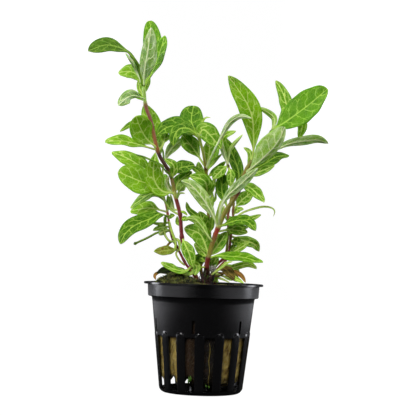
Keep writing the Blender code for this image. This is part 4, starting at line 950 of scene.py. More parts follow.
@dataclass(frozen=True)
class Blade:
    """Builds one leaf as a thin closed blade with its stalk, fold, quilt and waves, in millimetres.

    The groove and the rib are given as how deep they are and how far they reach on each side.
    """

    leaf: Leaf
    rows: int = 44
    columns: int = 20
    thickness: float = 0.3
    vein_pitch: float = 5.2
    least_pairs: float = 3.4
    least_shown: float = 0.3
    width_shares: Point = (0.3, 0.5, 0.7)
    reach: float = 0.01
    stalk_fade: float = 0.12
    quilt: float = 0.09
    wave: float = 0.25
    waved_width: float = 7.0
    beats: Pair = (2.2, 3.6)
    late: float = 1.2
    groove: Pair = (0.14, 0.3)
    rib: Pair = (0.3, 0.34)
    stalk_depth: float = 1.8

    def frames(self, stations: Sequence[float]) -> list[tuple[Vector, Vector, Vector]]:
        """Where the blade is along its length.

        Args:
            stations: shares of its length.

        Returns:
            The centre, the direction of its side and its upper direction at each.
        """
        leaf = self.leaf
        points = [leaf.stem.axis_at(leaf.at)] + [seen(*p) for p in leaf.way]
        ahead = even_points(points, [min(1.0, s + self.reach) for s in stations])
        behind = even_points(points, [max(0.0, s - self.reach) for s in stations])
        look = Vector(leaf.look)
        found = []
        for centre, a, b in zip(even_points(points, stations), ahead, behind):
            tangent = (a - b).normalized()
            up = (look - look.dot(tangent) * tangent).normalized()
            found.append((centre, tangent.cross(up), up))
        return found

    def full_width(self) -> float:
        """The blade's real width, from the width that shows."""
        total = 0.0
        for centre, side, up in self.frames(self.width_shares):
            view = (centre - EYE).normalized()
            tangent = up.cross(side)
            total += abs(side.dot(view.cross(tangent - tangent.dot(view) * view).normalized()))
        return self.leaf.width / max(self.least_shown, total / len(self.width_shares))

    def length(self) -> float:
        """The leaf's length along its midrib."""
        centres = [f[0] for f in self.frames([i / 20 for i in range(21)])]
        return sum((b - a).length for a, b in zip(centres, centres[1:]))

    def half_width(self, width: float, share: float) -> float:
        """Half the width of the blade or of its stalk.

        Args:
            width: the blade's full width.
            share: the place along the leaf, from 0 to 1.

        Returns:
            Half the width there.
        """
        leaf = self.leaf
        s = max(0.0, min(1.0, (share - leaf.stalk) / (1.0 - leaf.stalk)))
        bend = math.log(0.5) / math.log(leaf.peak)
        power = leaf.base + (leaf.blunt - leaf.base) * ease(0.2, 0.9, s)
        blade = 0.5 * width * math.sin(math.pi * s ** bend) ** power if 0 < s < 1 else 0.0
        stalk = leaf.petiole * (1.0 - 0.55 * ease(leaf.stalk, 1.0, share))
        return max(blade, stalk * (1.0 - ease(0.93, 1.0, share)) + 0.05)

    def across(self, x: float, half: float) -> float:
        """How far from the midrib a place from -1 to 1 across the blade is, where it is twice half wide."""
        return x * half * (1.0 + self.leaf.skew * (1 if x > 0 else -1))

    def rise(self, x: float, share: float, half: float, pairs: float, waves: Point) -> float:
        """How high the blade stands, with its fold, quilt, waves and groove.

        Args:
            x: the place across it, from -1 to 1.
            share: the place along the leaf, from 0 to 1.
            half: half its width there.
            pairs: how many pairs of laterals it has.
            waves: how high its waves are, how many there are and where they start.

        Returns:
            The height.
        """
        out, hand = abs(x), 1 if x > 0 else -1
        size, beat, start = waves
        phase = (share - SWEEP_STRAIGHT * out - SWEEP_CURVED * out ** SWEEP_POWER) * pairs + STAGGER * hand
        quilt = self.quilt * math.cos(math.tau * phase) * (1.0 - out) * min(1.0, 4 * out)
        late = self.late if x > 0 else 0.0
        wave = size * math.sin(math.tau * beat * share + start + late) * out * out
        groove = self.groove[0] * math.exp(-(self.across(x, half) / self.groove[1]) ** 2)
        return self.leaf.cup * half * out ** 1.4 + quilt + wave - groove

    def depths(self, x: float, share: float, half: float, body: float) -> Pair:
        """How thick the leaf is.

        Args:
            x: the place across it, from -1 to 1.
            share: the place along it, from 0 to 1.
            half: half its width there.
            body: how much of it is blade there and not stalk, from 0 to 1.

        Returns:
            How far its sides lie above and below its middle, where the rib stands out below.
        """
        thick = self.thickness * (1.0 - 0.5 * abs(x) ** 3) * body
        thick += (1.0 - body) * self.stalk_depth * self.leaf.petiole * math.sqrt(max(0.05, 1.0 - 0.8 * x * x))
        rib = self.rib[0] * math.exp(-(self.across(x, half) / self.rib[1]) ** 2) * (1.0 - 0.8 * share) * body
        return 0.5 * thick, 0.5 * thick + rib

    def faces(self, rows: int) -> Faces:
        """The faces of both sides by turns, and then those of the edges and ends.

        Args:
            rows: how many strips of faces lie along the leaf.

        Returns:
            The faces, for points that lie row by row on the upper side and then on the lower.
        """
        wide = self.columns + 1
        under = (rows + 1) * wide
        found: Faces = []
        for a in (i * wide + j for i in range(rows) for j in range(self.columns)):
            top = (a, a + 1, a + 1 + wide, a + wide)
            found += [top, tuple(under + p for p in reversed(top))]
        left = [(i * wide, (i + 1) * wide) for i in range(rows)]
        right = [(b + self.columns, a + self.columns) for a, b in left]
        foot = [(j + 1, j) for j in range(self.columns)]
        tip = [(rows * wide + j, rows * wide + j + 1) for j in range(self.columns)]
        return found + [(a, b, under + b, under + a) for a, b in left + right + foot + tip]

    def build(self) -> bpy.types.Object:
        """Makes the leaf's mesh and object."""
        leaf = self.leaf
        seed = sum((i + 3) * ord(c) for i, c in enumerate(leaf.name))
        rng = random.Random(seed)
        width, length = self.full_width(), self.length()
        pairs = max(self.least_pairs, length / self.vein_pitch)
        stations = [i / self.rows for i in range(self.rows)] + [1.0 - 0.25 / self.rows, 1.0]
        size = self.wave * min(1.0, width / self.waved_width)
        waves = (size, rng.uniform(*self.beats), rng.uniform(0, math.tau))
        upper, lower, shares, places, tints = [], [], [], [], []
        for share, (centre, side, up) in zip(stations, self.frames(stations)):
            half = self.half_width(width, share)
            body = ease(leaf.stalk, leaf.stalk + self.stalk_fade, share)
            for j in range(self.columns + 1):
                x = 2.0 * j / self.columns - 1.0
                across = self.across(x, half)
                middle = centre + side * across + up * (self.rise(x, share, half, pairs, waves) * body)
                above, below = self.depths(x, share, half, body)
                upper.append(middle + up * above)
                lower.append(middle - up * below)
                shares.append((0.5 * x + 0.5, share))
                places.append((across / MAP_MM + 0.5, share * length / MAP_MM))
                tints.append(0.5 + 0.5 * noise.noise(Vector((seed % 97, share * 2.0, x))))
        mesh = mesh_from(leaf.name, upper + lower, self.faces(self.rows + 1))
        for name, values in (("blade_share", shares), ("blade_place", places)):
            spots = [c for loop in mesh.loops for c in values[loop.vertex_index % len(upper)]]
            mesh.uv_layers.new(name=name).uv.foreach_set("vector", spots)
        mesh.attributes.new("tint", "FLOAT", "POINT").data.foreach_set("value", tints + tints)
        finishes = [LeafFinish(leaf.tone, is_upper, length, pairs).material(leaf.name)
                    for is_upper in (True, False)]
        piece = piece_from(f"{leaf.name}_blade", mesh, finishes)
        both = [0, 1] * ((self.rows + 1) * self.columns)
        mesh.polygons.foreach_set("material_index", both + [0] * (len(mesh.polygons) - len(both)))
        return piece


@dataclass(frozen=True)
class StemPiece:
    """Builds one stem as a ribbed tube with swollen joints and a painted skin, in millimetres.

    The swell and the pinch are given as how far above a joint they lie and how far they reach.
    """

    stem: Stem
    spacing: float = 0.45
    sides: int = 16
    swell: Pair = (0.0, 1.0)
    swell_rise: float = 0.2
    pinch: Pair = (1.7, 0.5)
    pinch_fall: float = 0.06
    tip: float = 0.985
    tip_fall: float = 0.55
    ridges: int = 4
    ridge_rise: float = 0.05
    roughness: float = 0.05
    most_brown: float = 0.6

    def near_joint(self, height: float, above: float, reach: float) -> float:
        """How near, from 0 to 1, this height is to one that lies so far above a joint."""
        return sum(math.exp(-((height - joint - above) / reach) ** 2) for joint in self.stem.joints)

    def radii(self, share: float, height: float, turns: Sequence[float]) -> list[float]:
        """The stem's radii on one ring, with its joints, ridges and lumps.

        Args:
            share: the place along the stem, from 0 to 1.
            height: the ring's height.
            turns: the turn of each point of the ring.

        Returns:
            A radius for each turn.
        """
        joints = self.swell_rise * self.near_joint(height, *self.swell)
        joints -= self.pinch_fall * self.near_joint(height, *self.pinch)
        radius = self.stem.radius(share) * (1.0 + joints) * (1.0 - self.tip_fall * ease(self.tip, 1.0, share))
        lumps = [noise.noise(Vector((math.cos(t), math.sin(t), height * 0.5))) for t in turns]
        return [radius * (1.0 + self.ridge_rise * math.cos(self.ridges * t) + self.roughness * lump)
                for t, lump in zip(turns, lumps)]

    def colours(self, height: float, turns: Sequence[float]) -> list[Colour]:
        """The skin's colours on one ring, browner at a joint and in patches.

        Args:
            height: the ring's height.
            turns: the turn of each point of the ring.

        Returns:
            A colour for each turn.
        """
        skin, joint = self.stem.colour(height), self.near_joint(height, *self.swell)
        patches = [max(0.0, noise.noise(Vector((turn, height * 0.35, 5.0)))) for turn in turns]
        return [mixed(skin, DARK_BROWN, min(self.most_brown, 0.25 * (joint + patch))) for patch in patches]

    def build(self) -> bpy.types.Object:
        """Makes the stem's mesh and object, in place of its solid."""
        stem = self.stem
        points = stem.points()
        rings = round(sum((b - a).length for a, b in zip(points, points[1:])) / self.spacing)
        centres = even_points(points, [i / rings for i in range(rings + 1)], 600)
        turns = [math.tau * j / self.sides for j in range(self.sides)]
        verts, colours = [], []
        side = Vector((1, 0, 0))
        for i, centre in enumerate(centres):
            tangent = (centres[min(i + 1, rings)] - centres[max(i - 1, 0)]).normalized()
            side = (side - side.dot(tangent) * tangent).normalized()
            verts += ring(centre, side, tangent.cross(side), self.radii(i / rings, centre.z, turns))
            colours += self.colours(centre.z, turns)
        ends = [tuple(reversed(range(self.sides))), tuple(range(rings * self.sides, len(verts)))]
        faces = ring_faces(rings + 1, self.sides) + ends
        piece = STEM_SKIN.piece(f"{stem.name}_tube", verts, faces, colours, "stem")
        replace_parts(piece, stem.name)
        return piece


@dataclass(frozen=True)
class PotFinish:
    """The pot's black moulded plastic: satin, faintly grained, with a little dust."""

    plastic: Colour = srgb(3, 3, 4)
    dust: Colour = srgb(60, 58, 54)

    def material(self) -> bpy.types.Material:
        """Builds the material."""
        material, shader, w = new_material("black_net_pot_plastic")
        place = w.add("TexCoord").outputs["Object"]
        cloud = w.noise(place, 90.0)
        specks = w.mottles(place, 900.0, 0.68, 0.74, 0.05)
        w.feed(shader, {"Base Color": w.mix(specks, self.plastic, self.dust),
                        "Roughness": w.math("MULTIPLY_ADD", cloud, 0.14, 0.12),
                        "Specular IOR Level": 0.5})
        w.relief(shader, w.math("MULTIPLY_ADD", cloud, 2.0, w.noise(place, 2600.0)), 0.25, 0.05)
        return material


@dataclass(frozen=True)
class NetPot:
    """The moulded net pot: flange, stepped collar, tapered body, ribs, slots, slits and slotted floor.

    Sizes are in millimetres, and turns in degrees from the front towards +X.
    """

    slots: int = 15
    slot_turn: float = 9.35
    slot_top: float = 26.0
    wall: float = 0.85
    flange_radius: float = 27.5
    flange_below: float = 49.15
    collar_top: float = 25.8
    collar_low: float = 25.5
    step_height: float = 43.6
    body_top: float = 23.7
    body_low: float = 19.0
    low_height: float = 1.8
    base_radius: float = 17.5
    rib_proud: float = 0.3
    rib_half: float = 2.25
    rib_rows_below: float = 30.0
    slits: int = 6
    slit_turn: float = -10.5
    slit_width: float = 1.3
    slit_low: float = 27.6
    slit_high: float = 33.6
    slit_depth: float = 4.0
    floor_slots: int = 6
    floor_slot_half: float = 6.0
    floor_outer: float = 14.0
    floor_inner: float = 6.0
    slot_columns: int = 8
    rib_columns: int = 12

    def body_radius(self, height: float) -> float:
        """The tapered body's outer radius at this height."""
        share = (height - self.low_height) / (self.step_height - self.low_height)
        return self.body_low + (self.body_top - self.body_low) * share

    def profile(self) -> list[Pair]:
        """Radius and height down the outer side, from the flange's edge to the middle of the base."""
        top, step = self.flange_below, self.step_height
        rows = [(self.flange_radius, top), (26.6, top), (self.collar_top + 0.25, top)]
        rows += [(self.collar_top - 0.1 * i, top - 0.25 - 5.0 * i / 3) for i in range(3)]
        rows += [(self.collar_low, step + 0.3), (self.collar_low - 0.3, step)]
        rows += [(self.body_top + 0.35, step - 0.15), (self.body_top, step - 0.6)]
        heights = [41.0, 38.0, 35.5, 34.2, self.slit_high, 32.0, 30.4, 29.2, self.slit_low + 1.0]
        heights += [28.4 - 0.2 * i for i in range(12)] + [self.slot_top]
        heights += [25.6, 25.0, 23.0, 19.0, 15.0, 11.0, 7.0, 4.0, 2.4, self.low_height]
        rows += [(self.body_radius(h), h) for h in sorted({round(h, 3) for h in heights}, reverse=True)]
        floor = (self.base_radius, 16.0, self.floor_outer, 12.0, 9.0, self.floor_inner, 4.0, 2.0)
        return rows + [(18.7, 1.0), (18.2, 0.4)] + [(radius, 0.0) for radius in floor]

    def columns(self) -> list[float]:
        """The turns of every column of the mesh, slot by slot, with those of a rib closer at its sides."""
        half = 90.0 / self.slots
        turns = []
        for k in range(self.slots):
            middle = self.slot_turn + 4 * half * k
            turns += [middle - half + 2 * half * i / self.slot_columns for i in range(self.slot_columns)]
            for t in (i / self.rib_columns for i in range(self.rib_columns)):
                bent = 0.5 - 0.5 * math.cos(math.pi * t)
                turns.append(middle + half + 2 * half * (0.45 * t + 0.55 * bent))
        return turns

    def rib_rise(self, turn: float, height: float) -> float:
        """How far the wall stands out for the ribs and their round tops.

        Args:
            turn: the place round the pot.
            height: the place up the pot.

        Returns:
            The rise there.
        """
        period = 360.0 / self.slots
        across = math.radians((turn - self.slot_turn) % period - 0.5 * period) * self.body_radius(height)
        edge = self.rib_half - math.hypot(across, max(0.0, height - self.slot_top))
        return self.rib_proud * ease(-0.05, 0.9, edge) * ease(0.4, 2.0, height)

    def is_open(self, column: int, turn: float, outer: Pair, inner: Pair) -> bool:
        """Whether a face of the grid lies in a slot of the wall or of the floor.

        Args:
            column: the face's column.
            turn: the turn where it starts.
            outer: radius and height of its upper or outer row.
            inner: radius and height of its lower or inner row.

        Returns:
            True where the pot is open.
        """
        if outer[1] == inner[1] == 0.0:
            spacing = 360.0 / self.floor_slots
            off = (turn - self.slot_turn + 0.5 * spacing) % spacing - 0.5 * spacing
            reach = self.floor_inner <= inner[0] and outer[0] <= self.floor_outer
            return reach and -self.floor_slot_half <= round(off, 6) < self.floor_slot_half
        in_slot = column % (self.slot_columns + self.rib_columns) < self.slot_columns
        return in_slot and self.low_height < 0.5 * (outer[1] + inner[1]) < self.slot_top

    def sheet(self) -> tuple[list[Vector], Faces]:
        """The points and faces of the pot's outer side, open where it has slots."""
        turns, rows = self.columns(), self.profile()
        count = len(turns)
        verts = []
        for radius, height in rows:
            ribbed = radius < self.body_top + 0.1 and 0.3 < height < self.rib_rows_below
            verts += [around(radius + (self.rib_rise(t, height) if ribbed else 0.0), math.radians(t), height)
                      for t in turns]
        faces: Faces = []
        for i, (outer, inner) in enumerate(zip(rows, rows[1:])):
            for j in range(count):
                a, b = i * count + j, i * count + (j + 1) % count
                if not self.is_open(j, turns[j], outer, inner):
                    faces.append((a, a + count, b + count, b))
        last = (len(rows) - 1) * count
        faces += [(last + j, len(verts), last + (j + 1) % count) for j in range(count)]
        return verts + [Vector()], faces

    def build(self) -> bpy.types.Object:
        """Makes the pot's mesh and object, in place of its solid."""
        mesh = mesh_from("net_pot", *self.sheet())
        bm = bmesh.new()
        bm.from_mesh(mesh)
        bmesh.ops.recalc_face_normals(bm, faces=bm.faces)
        if max(bm.faces, key=lambda f: f.calc_center_median().z).normal.z > 0:
            bmesh.ops.reverse_faces(bm, faces=bm.faces)
        bm.to_mesh(mesh)
        bm.free()
        pot = piece_from("net_pot", mesh, [PotFinish().material()])
        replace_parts(pot, "pot")
        thick = pot.modifiers.new("wall", "SOLIDIFY")
        thick.thickness = self.wall * MM
        thick.offset = -1.0
        self._cut_slits(pot)
        edges = pot.modifiers.new("edges", "BEVEL")
        edges.width = 0.14 * MM
        edges.segments = 2
        edges.limit_method = "ANGLE"
        edges.angle_limit = math.radians(50)
        return pot

    def _cut_slits(self, pot: bpy.types.Object) -> None:
        """Gives the pot its wall and cuts the narrow upright slits above the slots.

        Args:
            pot: the pot, whose modifiers are applied.
        """
        bm = bmesh.new()
        height = 0.5 * (self.slit_low + self.slit_high)
        size = Vector((self.slit_width, self.slit_depth, self.slit_high - self.slit_low)) * MM
        for turn in (math.radians(self.slit_turn + 360.0 * i / self.slits) for i in range(self.slits)):
            middle = around(self.body_radius(height) - 0.5 * self.wall, turn, height) * MM
            turned = Matrix.Rotation(turn, 4, "Z") @ Matrix.Diagonal(size).to_4x4()
            bmesh.ops.create_cube(bm, size=1.0, matrix=Matrix.Translation(middle) @ turned)
        mesh = bpy.data.meshes.new("slit_cutter")
        bm.to_mesh(mesh)
        bm.free()
        cutter = place_object("slit_cutter", mesh)
        cut = pot.modifiers.new("slits", "BOOLEAN")
        cut.operation = "DIFFERENCE"
        cut.solver = "EXACT"
        cut.object = cutter
        bpy.context.view_layer.update()
        done = bpy.data.meshes.new_from_object(pot.evaluated_get(bpy.context.evaluated_depsgraph_get()))
        pot.modifiers.clear()
        whole, pot.data = pot.data, done
        bpy.data.meshes.remove(whole)
        bpy.data.objects.remove(cutter)
        done.shade_smooth()
        done.set_sharp_from_angle(angle=math.radians(38))


@dataclass(frozen=True)
class WoolPlug:
    """The mineral wool that fills the pot: a lumpy body with painted colours and painted shade. Sizes are in
    millimetres.
    """

    steps: int = 160
    levels: int = 110
    mound: Pair = (-12.5, -5.5)
    mound_rise: float = 4.3
    mound_reach: float = 9.5
    hollow_rise: float = 3.4
    hollow_reach: float = 1.5

    RINGS = ((0.0, 2.4), (8.5, 2.9), (14.5, 4.4), (18.4, 8.0), (19.95, 22.0), (21.75, 38.0), (22.2, 45.0),
             (23.2, 47.6), (21.0, 48.9), (15.0, 49.3), (7.5, 49.4), (0.0, 49.4))
    HOLLOWS = (-12.6, -6.0)
    LUMPS = ((0.16, 0.6), (0.45, 0.35), (1.3, 0.2))

    def surface(self, turn: float, level: float) -> Vector:
        """A point of the plug's surface, with its lumps, the hollows at its foot and the moss mound's rise.

        Args:
            turn: the place round the plug, in radians.
            level: the place up it, from foot, 0, to crown, 1.

        Returns:
            The point.
        """
        spot = smooth_point([Vector((r, 0, z)) for r, z in self.RINGS], level)
        point = around(max(0.0, spot.x), turn, spot.z)
        on_top = ease(47.8, 49.2, point.z)
        hollow = sum(math.exp(-((point.x - x) / self.hollow_reach) ** 2) for x in self.HOLLOWS)
        point.z += ease(9.0, 5.0, point.z) * self.hollow_rise * hollow
        off = math.hypot(point.x - self.mound[0], point.y - self.mound[1]) / self.mound_reach
        lump = sum(noise.noise(point * scale) * share for scale, share in self.LUMPS)
        out = Vector((point.x, point.y, 0.0)).normalized()
        point += out * (min(0.0, lump) * 1.1 - 0.1) * (1.0 - on_top)
        cushion = math.exp(-off * off) * (self.mound_rise + noise.noise(point * 0.55))
        point.z += on_top * (cushion + lump * 0.7 - 0.4)
        return point

    def on_crown(self, x: float, y: float) -> Vector:
        """The point of the crown above a place.

        Args:
            x: the place to the right of the axis.
            y: the place behind the axis.

        Returns:
            The point, found between the crown's edge and its middle.
        """
        low, high = 0.66, 1.0
        for _ in range(14):
            level = 0.5 * (low + high)
            spot = self.surface(math.atan2(x, -y), level)
            if math.hypot(spot.x, spot.y) > math.hypot(x, y):
                low = level
            else:
                high = level
        return self.surface(math.atan2(x, -y), low)

    @staticmethod
    def tint(point: Vector) -> Colour:
        """The wool's colour.

        Args:
            point: a place on the plug.

        Returns:
            Golden tan in the outer slots; black-brown painted shade in the front ones, left dark by the side
            lights, and behind the wall above them, seen through the slits; darker towards the foot; and on
            the crown, dark olive moss with painted shade in its gaps and painted light on its cushions, or
            pale grey.
        """
        rough = noise.noise(point * 0.4) + 0.6 * noise.noise(point * 1.1)
        gold = mixed(srgb(176, 154, 86), srgb(96, 74, 30), ease(-0.2, 0.5, rough))
        # Painted shade: black-brown in the front slots, left dark by the side lights, and behind the slits
        # above them.
        black = mixed(srgb(46, 30, 14), srgb(10, 7, 4), ease(-0.5, 0.35, rough + 0.12 * point.x))
        front = ease(11.0, 8.8, abs(point.x + 0.4)) * ease(-4.0, -10.0, point.y)
        above = ease(25.8, 26.8, point.z) * ease(48.4, 47.6, point.z)
        foot = 0.6 * ease(9.0, 4.0, point.z)
        side = mixed(gold, black, max(front, above, foot))
        # Moss on the crown: painted shade in the gaps between its cushions and painted light on their tops.
        moss = mixed(srgb(26, 32, 10), srgb(96, 98, 42), ease(-0.3, 0.3, noise.noise(point * 0.55)))
        bare = mixed(srgb(148, 150, 110), srgb(84, 76, 46), ease(-0.3, 0.4, rough + 0.1 * abs(point.x - 8.0)))
        crown = mixed(moss, bare, ease(-2.0, 4.0, point.x))
        return mixed(side, crown, ease(47.9, 48.6, point.z))

    def build(self) -> bpy.types.Object:
        """Makes the lumpy body, in place of its solid."""
        verts = [self.surface(math.tau * j / self.steps, i / self.levels)
                 for i in range(1, self.levels) for j in range(self.steps)]
        foot, top, last = len(verts), len(verts) + 1, len(verts) - self.steps
        faces = ring_faces(self.levels - 1, self.steps)
        for j, k in ((j, (j + 1) % self.steps) for j in range(self.steps)):
            faces += [(foot, k, j), (top, last + j, last + k)]
        verts += [self.surface(0.0, 0.0), self.surface(0.0, 1.0)]
        piece = WOOL_SKIN.piece("wool_body", verts, faces, [self.tint(v) for v in verts], "wool")
        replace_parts(piece, "wool_plug")
        return piece


class Strands:
    """Gathers many thin three-sided threads in one mesh, each with its colour."""

    SIDES = 3

    def __init__(self) -> None:
        """Starts an empty bundle."""
        self.verts: list[Vector] = []
        self.faces: Faces = []
        self.colours: list[Colour] = []

    def add(self, points: Sequence[Vector], radius: float, colour: Colour, taper: float = 0.3) -> None:
        """Adds one thread.

        Args:
            points: what it runs along.
            radius: its radius in the middle, in millimetres.
            colour: its colour.
            taper: the share of that radius that its ends have.
        """
        start, last = len(self.verts), len(points) - 1
        for i, point in enumerate(points):
            tangent = (points[min(i + 1, last)] - points[max(i - 1, 0)]).normalized()
            side = tangent.orthogonal().normalized()
            r = radius * (1.0 - (1.0 - taper) * abs(2 * i / last - 1.0) ** 2)
            self.verts += ring(point, side, tangent.cross(side), [r] * self.SIDES)
        self.colours += [colour] * (self.SIDES * len(points))
        end = len(self.verts) - self.SIDES
        self.faces += ring_faces(len(points), self.SIDES, start)
        self.faces += [(start + 2, start + 1, start), (end, end + 1, end + 2)]


@dataclass(frozen=True)
class WoolFibres:
    """Loose fibres over the wool, thicker where the slots and the top show them."""

    plug: WoolPlug
    count: int = 5200
    seed: int = 71
    side_levels: Pair = (0.12, 0.42)
    crown_levels: Pair = (0.66, 0.98)
    heading: Pair = (0.7, 0.5)
    lengths: Pair = (1.6, 5.5)
    radii: Pair = (0.05, 0.13)
    lifts: Pair = (0.0, 0.28)
    end_lift: float = 0.2
    turn_mm: float = 20.0
    level_mm: float = 110.0

    def build(self) -> bpy.types.Object:
        """Lays all the fibres as one piece."""
        rng = random.Random(self.seed)
        strands = Strands()
        for _ in range(self.count):
            turn = rng.uniform(0, math.tau)
            level = rng.choice((rng.uniform(*self.side_levels), rng.uniform(*self.crown_levels)))
            on_top = level > self.side_levels[1]
            heading = rng.gauss(*self.heading)
            length = rng.uniform(*self.lengths)
            points = []
            for i in range(5):
                step = length * (i / 4 - 0.5)
                up = max(0.02, min(0.99, level + step * math.cos(heading) / self.level_mm))
                spot = self.plug.surface(turn + step * math.sin(heading) / self.turn_mm, up)
                lift = rng.uniform(*self.lifts) + (self.end_lift if i in (0, 4) and on_top else 0.0)
                outward = Vector((0, 0, 1)) if on_top else Vector((spot.x, spot.y, 0.0)).normalized()
                points.append(spot + outward * lift)
            share = rng.random()
            # Each fibre takes the wool's colour beneath it, painted shade included, and stays dark within
            # that shade.
            base = self.plug.tint(points[2])
            glow = (0.7 if base[0] > 0.08 else 0.06) * share ** 3
            shade = mixed(base, srgb(52, 38, 14), 0.6 * ease(0.35, 0.0, share))
            strands.add(points, rng.uniform(*self.radii), mixed(shade, srgb(226, 210, 146), glow))
        return FIBRE_SKIN.piece("wool_fibres", strands.verts, strands.faces, strands.colours, "wool")


@dataclass(frozen=True)
class MossMound:
    """Moss on the left of the wool: thousands of tiny leaflets on short shoots."""

    plug: WoolPlug
    shoots: int = 2000
    leaflets: int = 6
    reach: Pair = (10.5, 11.0)
    rim: float = 22.0
    seed: int = 23
    heights: Pair = (0.4, 1.7)
    lengths: Pair = (0.4, 0.85)
    half_widths: Pair = (0.1, 0.18)
    dry_share: float = 0.15
    yellow_from: float = 0.95

    def shade(self, foot: Vector, rng: random.Random) -> Colour:
        """One shoot's colour.

        Args:
            foot: where it stands.
            rng: what draws its colour.

        Returns:
            Green, with painted shade low between the cushions and painted light on their tops, or brownish or
            yellow.
        """
        # Painted shade between the moss cushions and painted light on their tops.
        cushion = ease(-0.35, 0.35, noise.noise(foot * 0.55))
        green = mixed(srgb(24, 34, 8), srgb(168, 178, 84), cushion * (0.2 + 0.8 * rng.random()))
        pick = rng.random()
        if pick > self.yellow_from:
            return srgb(172, 160, 84)
        return mixed(green, srgb(70, 48, 20), 0.6) if pick < self.dry_share else green

    def build(self) -> bpy.types.Object:
        """Grows the moss on the plug's crown."""
        rng = random.Random(self.seed)
        verts: list[Vector] = []
        faces: Faces = []
        colours: list[Colour] = []
        for _ in range(self.shoots):
            turn, far = rng.uniform(0, math.tau), math.sqrt(rng.random())
            x = self.plug.mound[0] + far * self.reach[0] * math.cos(turn)
            y = self.plug.mound[1] + far * self.reach[1] * math.sin(turn)
            if math.hypot(x, y) > self.rim:
                continue
            foot = self.plug.on_crown(x, y)
            lean = Vector((rng.gauss(0, 0.6), rng.gauss(0, 0.6), 1.0)).normalized()
            tall = rng.uniform(*self.heights) * (1.0 - 0.4 * far)
            colours += [self.shade(foot, rng)] * (5 * self.leaflets)
            for i in range(self.leaflets):
                spot = foot + lean * tall * (i + 1) / self.leaflets
                out = Vector((rng.gauss(0, 1), rng.gauss(0, 1), rng.uniform(0.1, 1.0))).normalized()
                side = out.cross(lean).normalized() * rng.uniform(*self.half_widths)
                long = out * rng.uniform(*self.lengths)
                middle, rise = spot + long * 0.5, lean * 0.12
                n = len(verts)
                verts += [spot, middle + side + rise, spot + long, middle - side + rise, middle - lean * 0.06]
                faces += [(n + k, n + (k + 1) % 4, n + 4) for k in range(4)] + [(n, n + 3, n + 2, n + 1)]
        return MOSS_SKIN.piece("moss_mound", verts, faces, colours, "leaf")


@dataclass(frozen=True)
class RootTangle:
    """The dark roots and stalks at the stems' feet, a pale dry tuft, and roots and weed in the slots.

    Each bit of weed is given as its place to the right of the axis and the heights of its foot and tip.
    """

    roots: int = 150
    tuft: int = 60
    seed: int = 41
    root_foot: float = 48.9
    root_tip: float = 50.0
    root_radii: Pair = (0.12, 0.34)
    green_share: float = 0.14
    tuft_foot: Point = (3.8, -6.5, 55.4)
    tuft_radius: float = 0.09
    slot_radius: float = 0.22
    weed_radius: float = 0.55
    weed: tuple[Point, ...] = ((-5.2, 5.6, 8.6), (-4.6, 6.0, 9.2), (-5.6, 5.2, 7.4), (2.4, 3.6, 5.2),
                               (3.6, 3.4, 4.8))

    def build(self) -> bpy.types.Object:
        """Winds all the threads and makes them one piece."""
        rng = random.Random(self.seed)
        strands = Strands()
        for _ in range(self.roots):
            x, y = rng.gauss(1.4, 1.9), rng.uniform(-8.5, 2.0)
            tip = Vector((x * 0.8 + rng.gauss(0.2, 1.0), y * 0.8, self.root_tip + rng.uniform(0.8, 6.6)))
            shade = mixed(srgb(12, 7, 4), srgb(70, 24, 18), rng.random() ** 2)
            if rng.random() < self.green_share:
                shade = srgb(78, 104, 28)
            root = self.wound(Vector((x, y, self.root_foot)), tip, rng, 0.5)
            strands.add(root, rng.uniform(*self.root_radii), shade)
        for _ in range(self.tuft):
            foot = Vector(self.tuft_foot) + Vector((rng.gauss(0, 0.5), 0.0, 0.0))
            tip = foot + Vector((rng.gauss(0, 0.8), rng.uniform(-1.0, 1.0), rng.uniform(1.2, 3.4)))
            thread = self.wound(foot, tip, rng, 0.3)
            shade = mixed(srgb(120, 112, 100), srgb(206, 204, 196), rng.random())
            strands.add(thread, self.tuft_radius, shade)
        root = [self.in_slot(3.6 + 0.25 * math.sin(0.7 * z), z) for z in range(4, 25, 2)]
        strands.add(root, self.slot_radius, srgb(132, 118, 52))
        for x, low, high in self.weed:
            places = ((x, low), (x + 0.3, 0.5 * (low + high)), (x - 0.2, high))
            strands.add([self.in_slot(*place) for place in places], self.weed_radius, srgb(74, 116, 26), 0.1)
        return ROOT_SKIN.piece("root_tangle", strands.verts, strands.faces, strands.colours, "stem")

    @staticmethod
    def wound(foot: Vector, tip: Vector, rng: random.Random, sway: float) -> list[Vector]:
        """Seven points of a wavy thread.

        Args:
            foot: where it starts.
            tip: where it ends.
            rng: what draws its waves.
            sway: how far they go, in millimetres.

        Returns:
            The points, the first and last at foot and tip.
        """
        waves = [Vector((rng.gauss(0, sway), rng.gauss(0, sway), 0)) for _ in range(7)]
        return [foot.lerp(tip, i / 6) + wave * (0 < i < 6) for i, wave in enumerate(waves)]

    @staticmethod
    def in_slot(x: float, z: float) -> Vector:
        """A place on the front of the wool, just under its fibres."""
        radius = 18.55 + 0.11 * (z - 8.0)
        return Vector((x, -math.sqrt(radius * radius - x * x), z))


@dataclass(frozen=True)
class SoftBox:
    """A rectangular soft light aimed at the plant: its place, size in metres, strength and colour."""

    name: str
    place: Point
    size: Pair
    watts: float
    colour: Colour = WHITE

    AIM = Vector((0.0, 0.0, 0.07))

    def build(self) -> None:
        """Sets the light."""
        data = bpy.data.lights.new(self.name, "AREA")
        data.shape = "RECTANGLE"
        data.size, data.size_y = self.size
        data.energy = self.watts
        data.color = self.colour
        box = place_object(self.name, data)
        box.location = self.place
        box.rotation_euler = (self.AIM - Vector(self.place)).to_track_quat("-Z", "Y").to_euler()


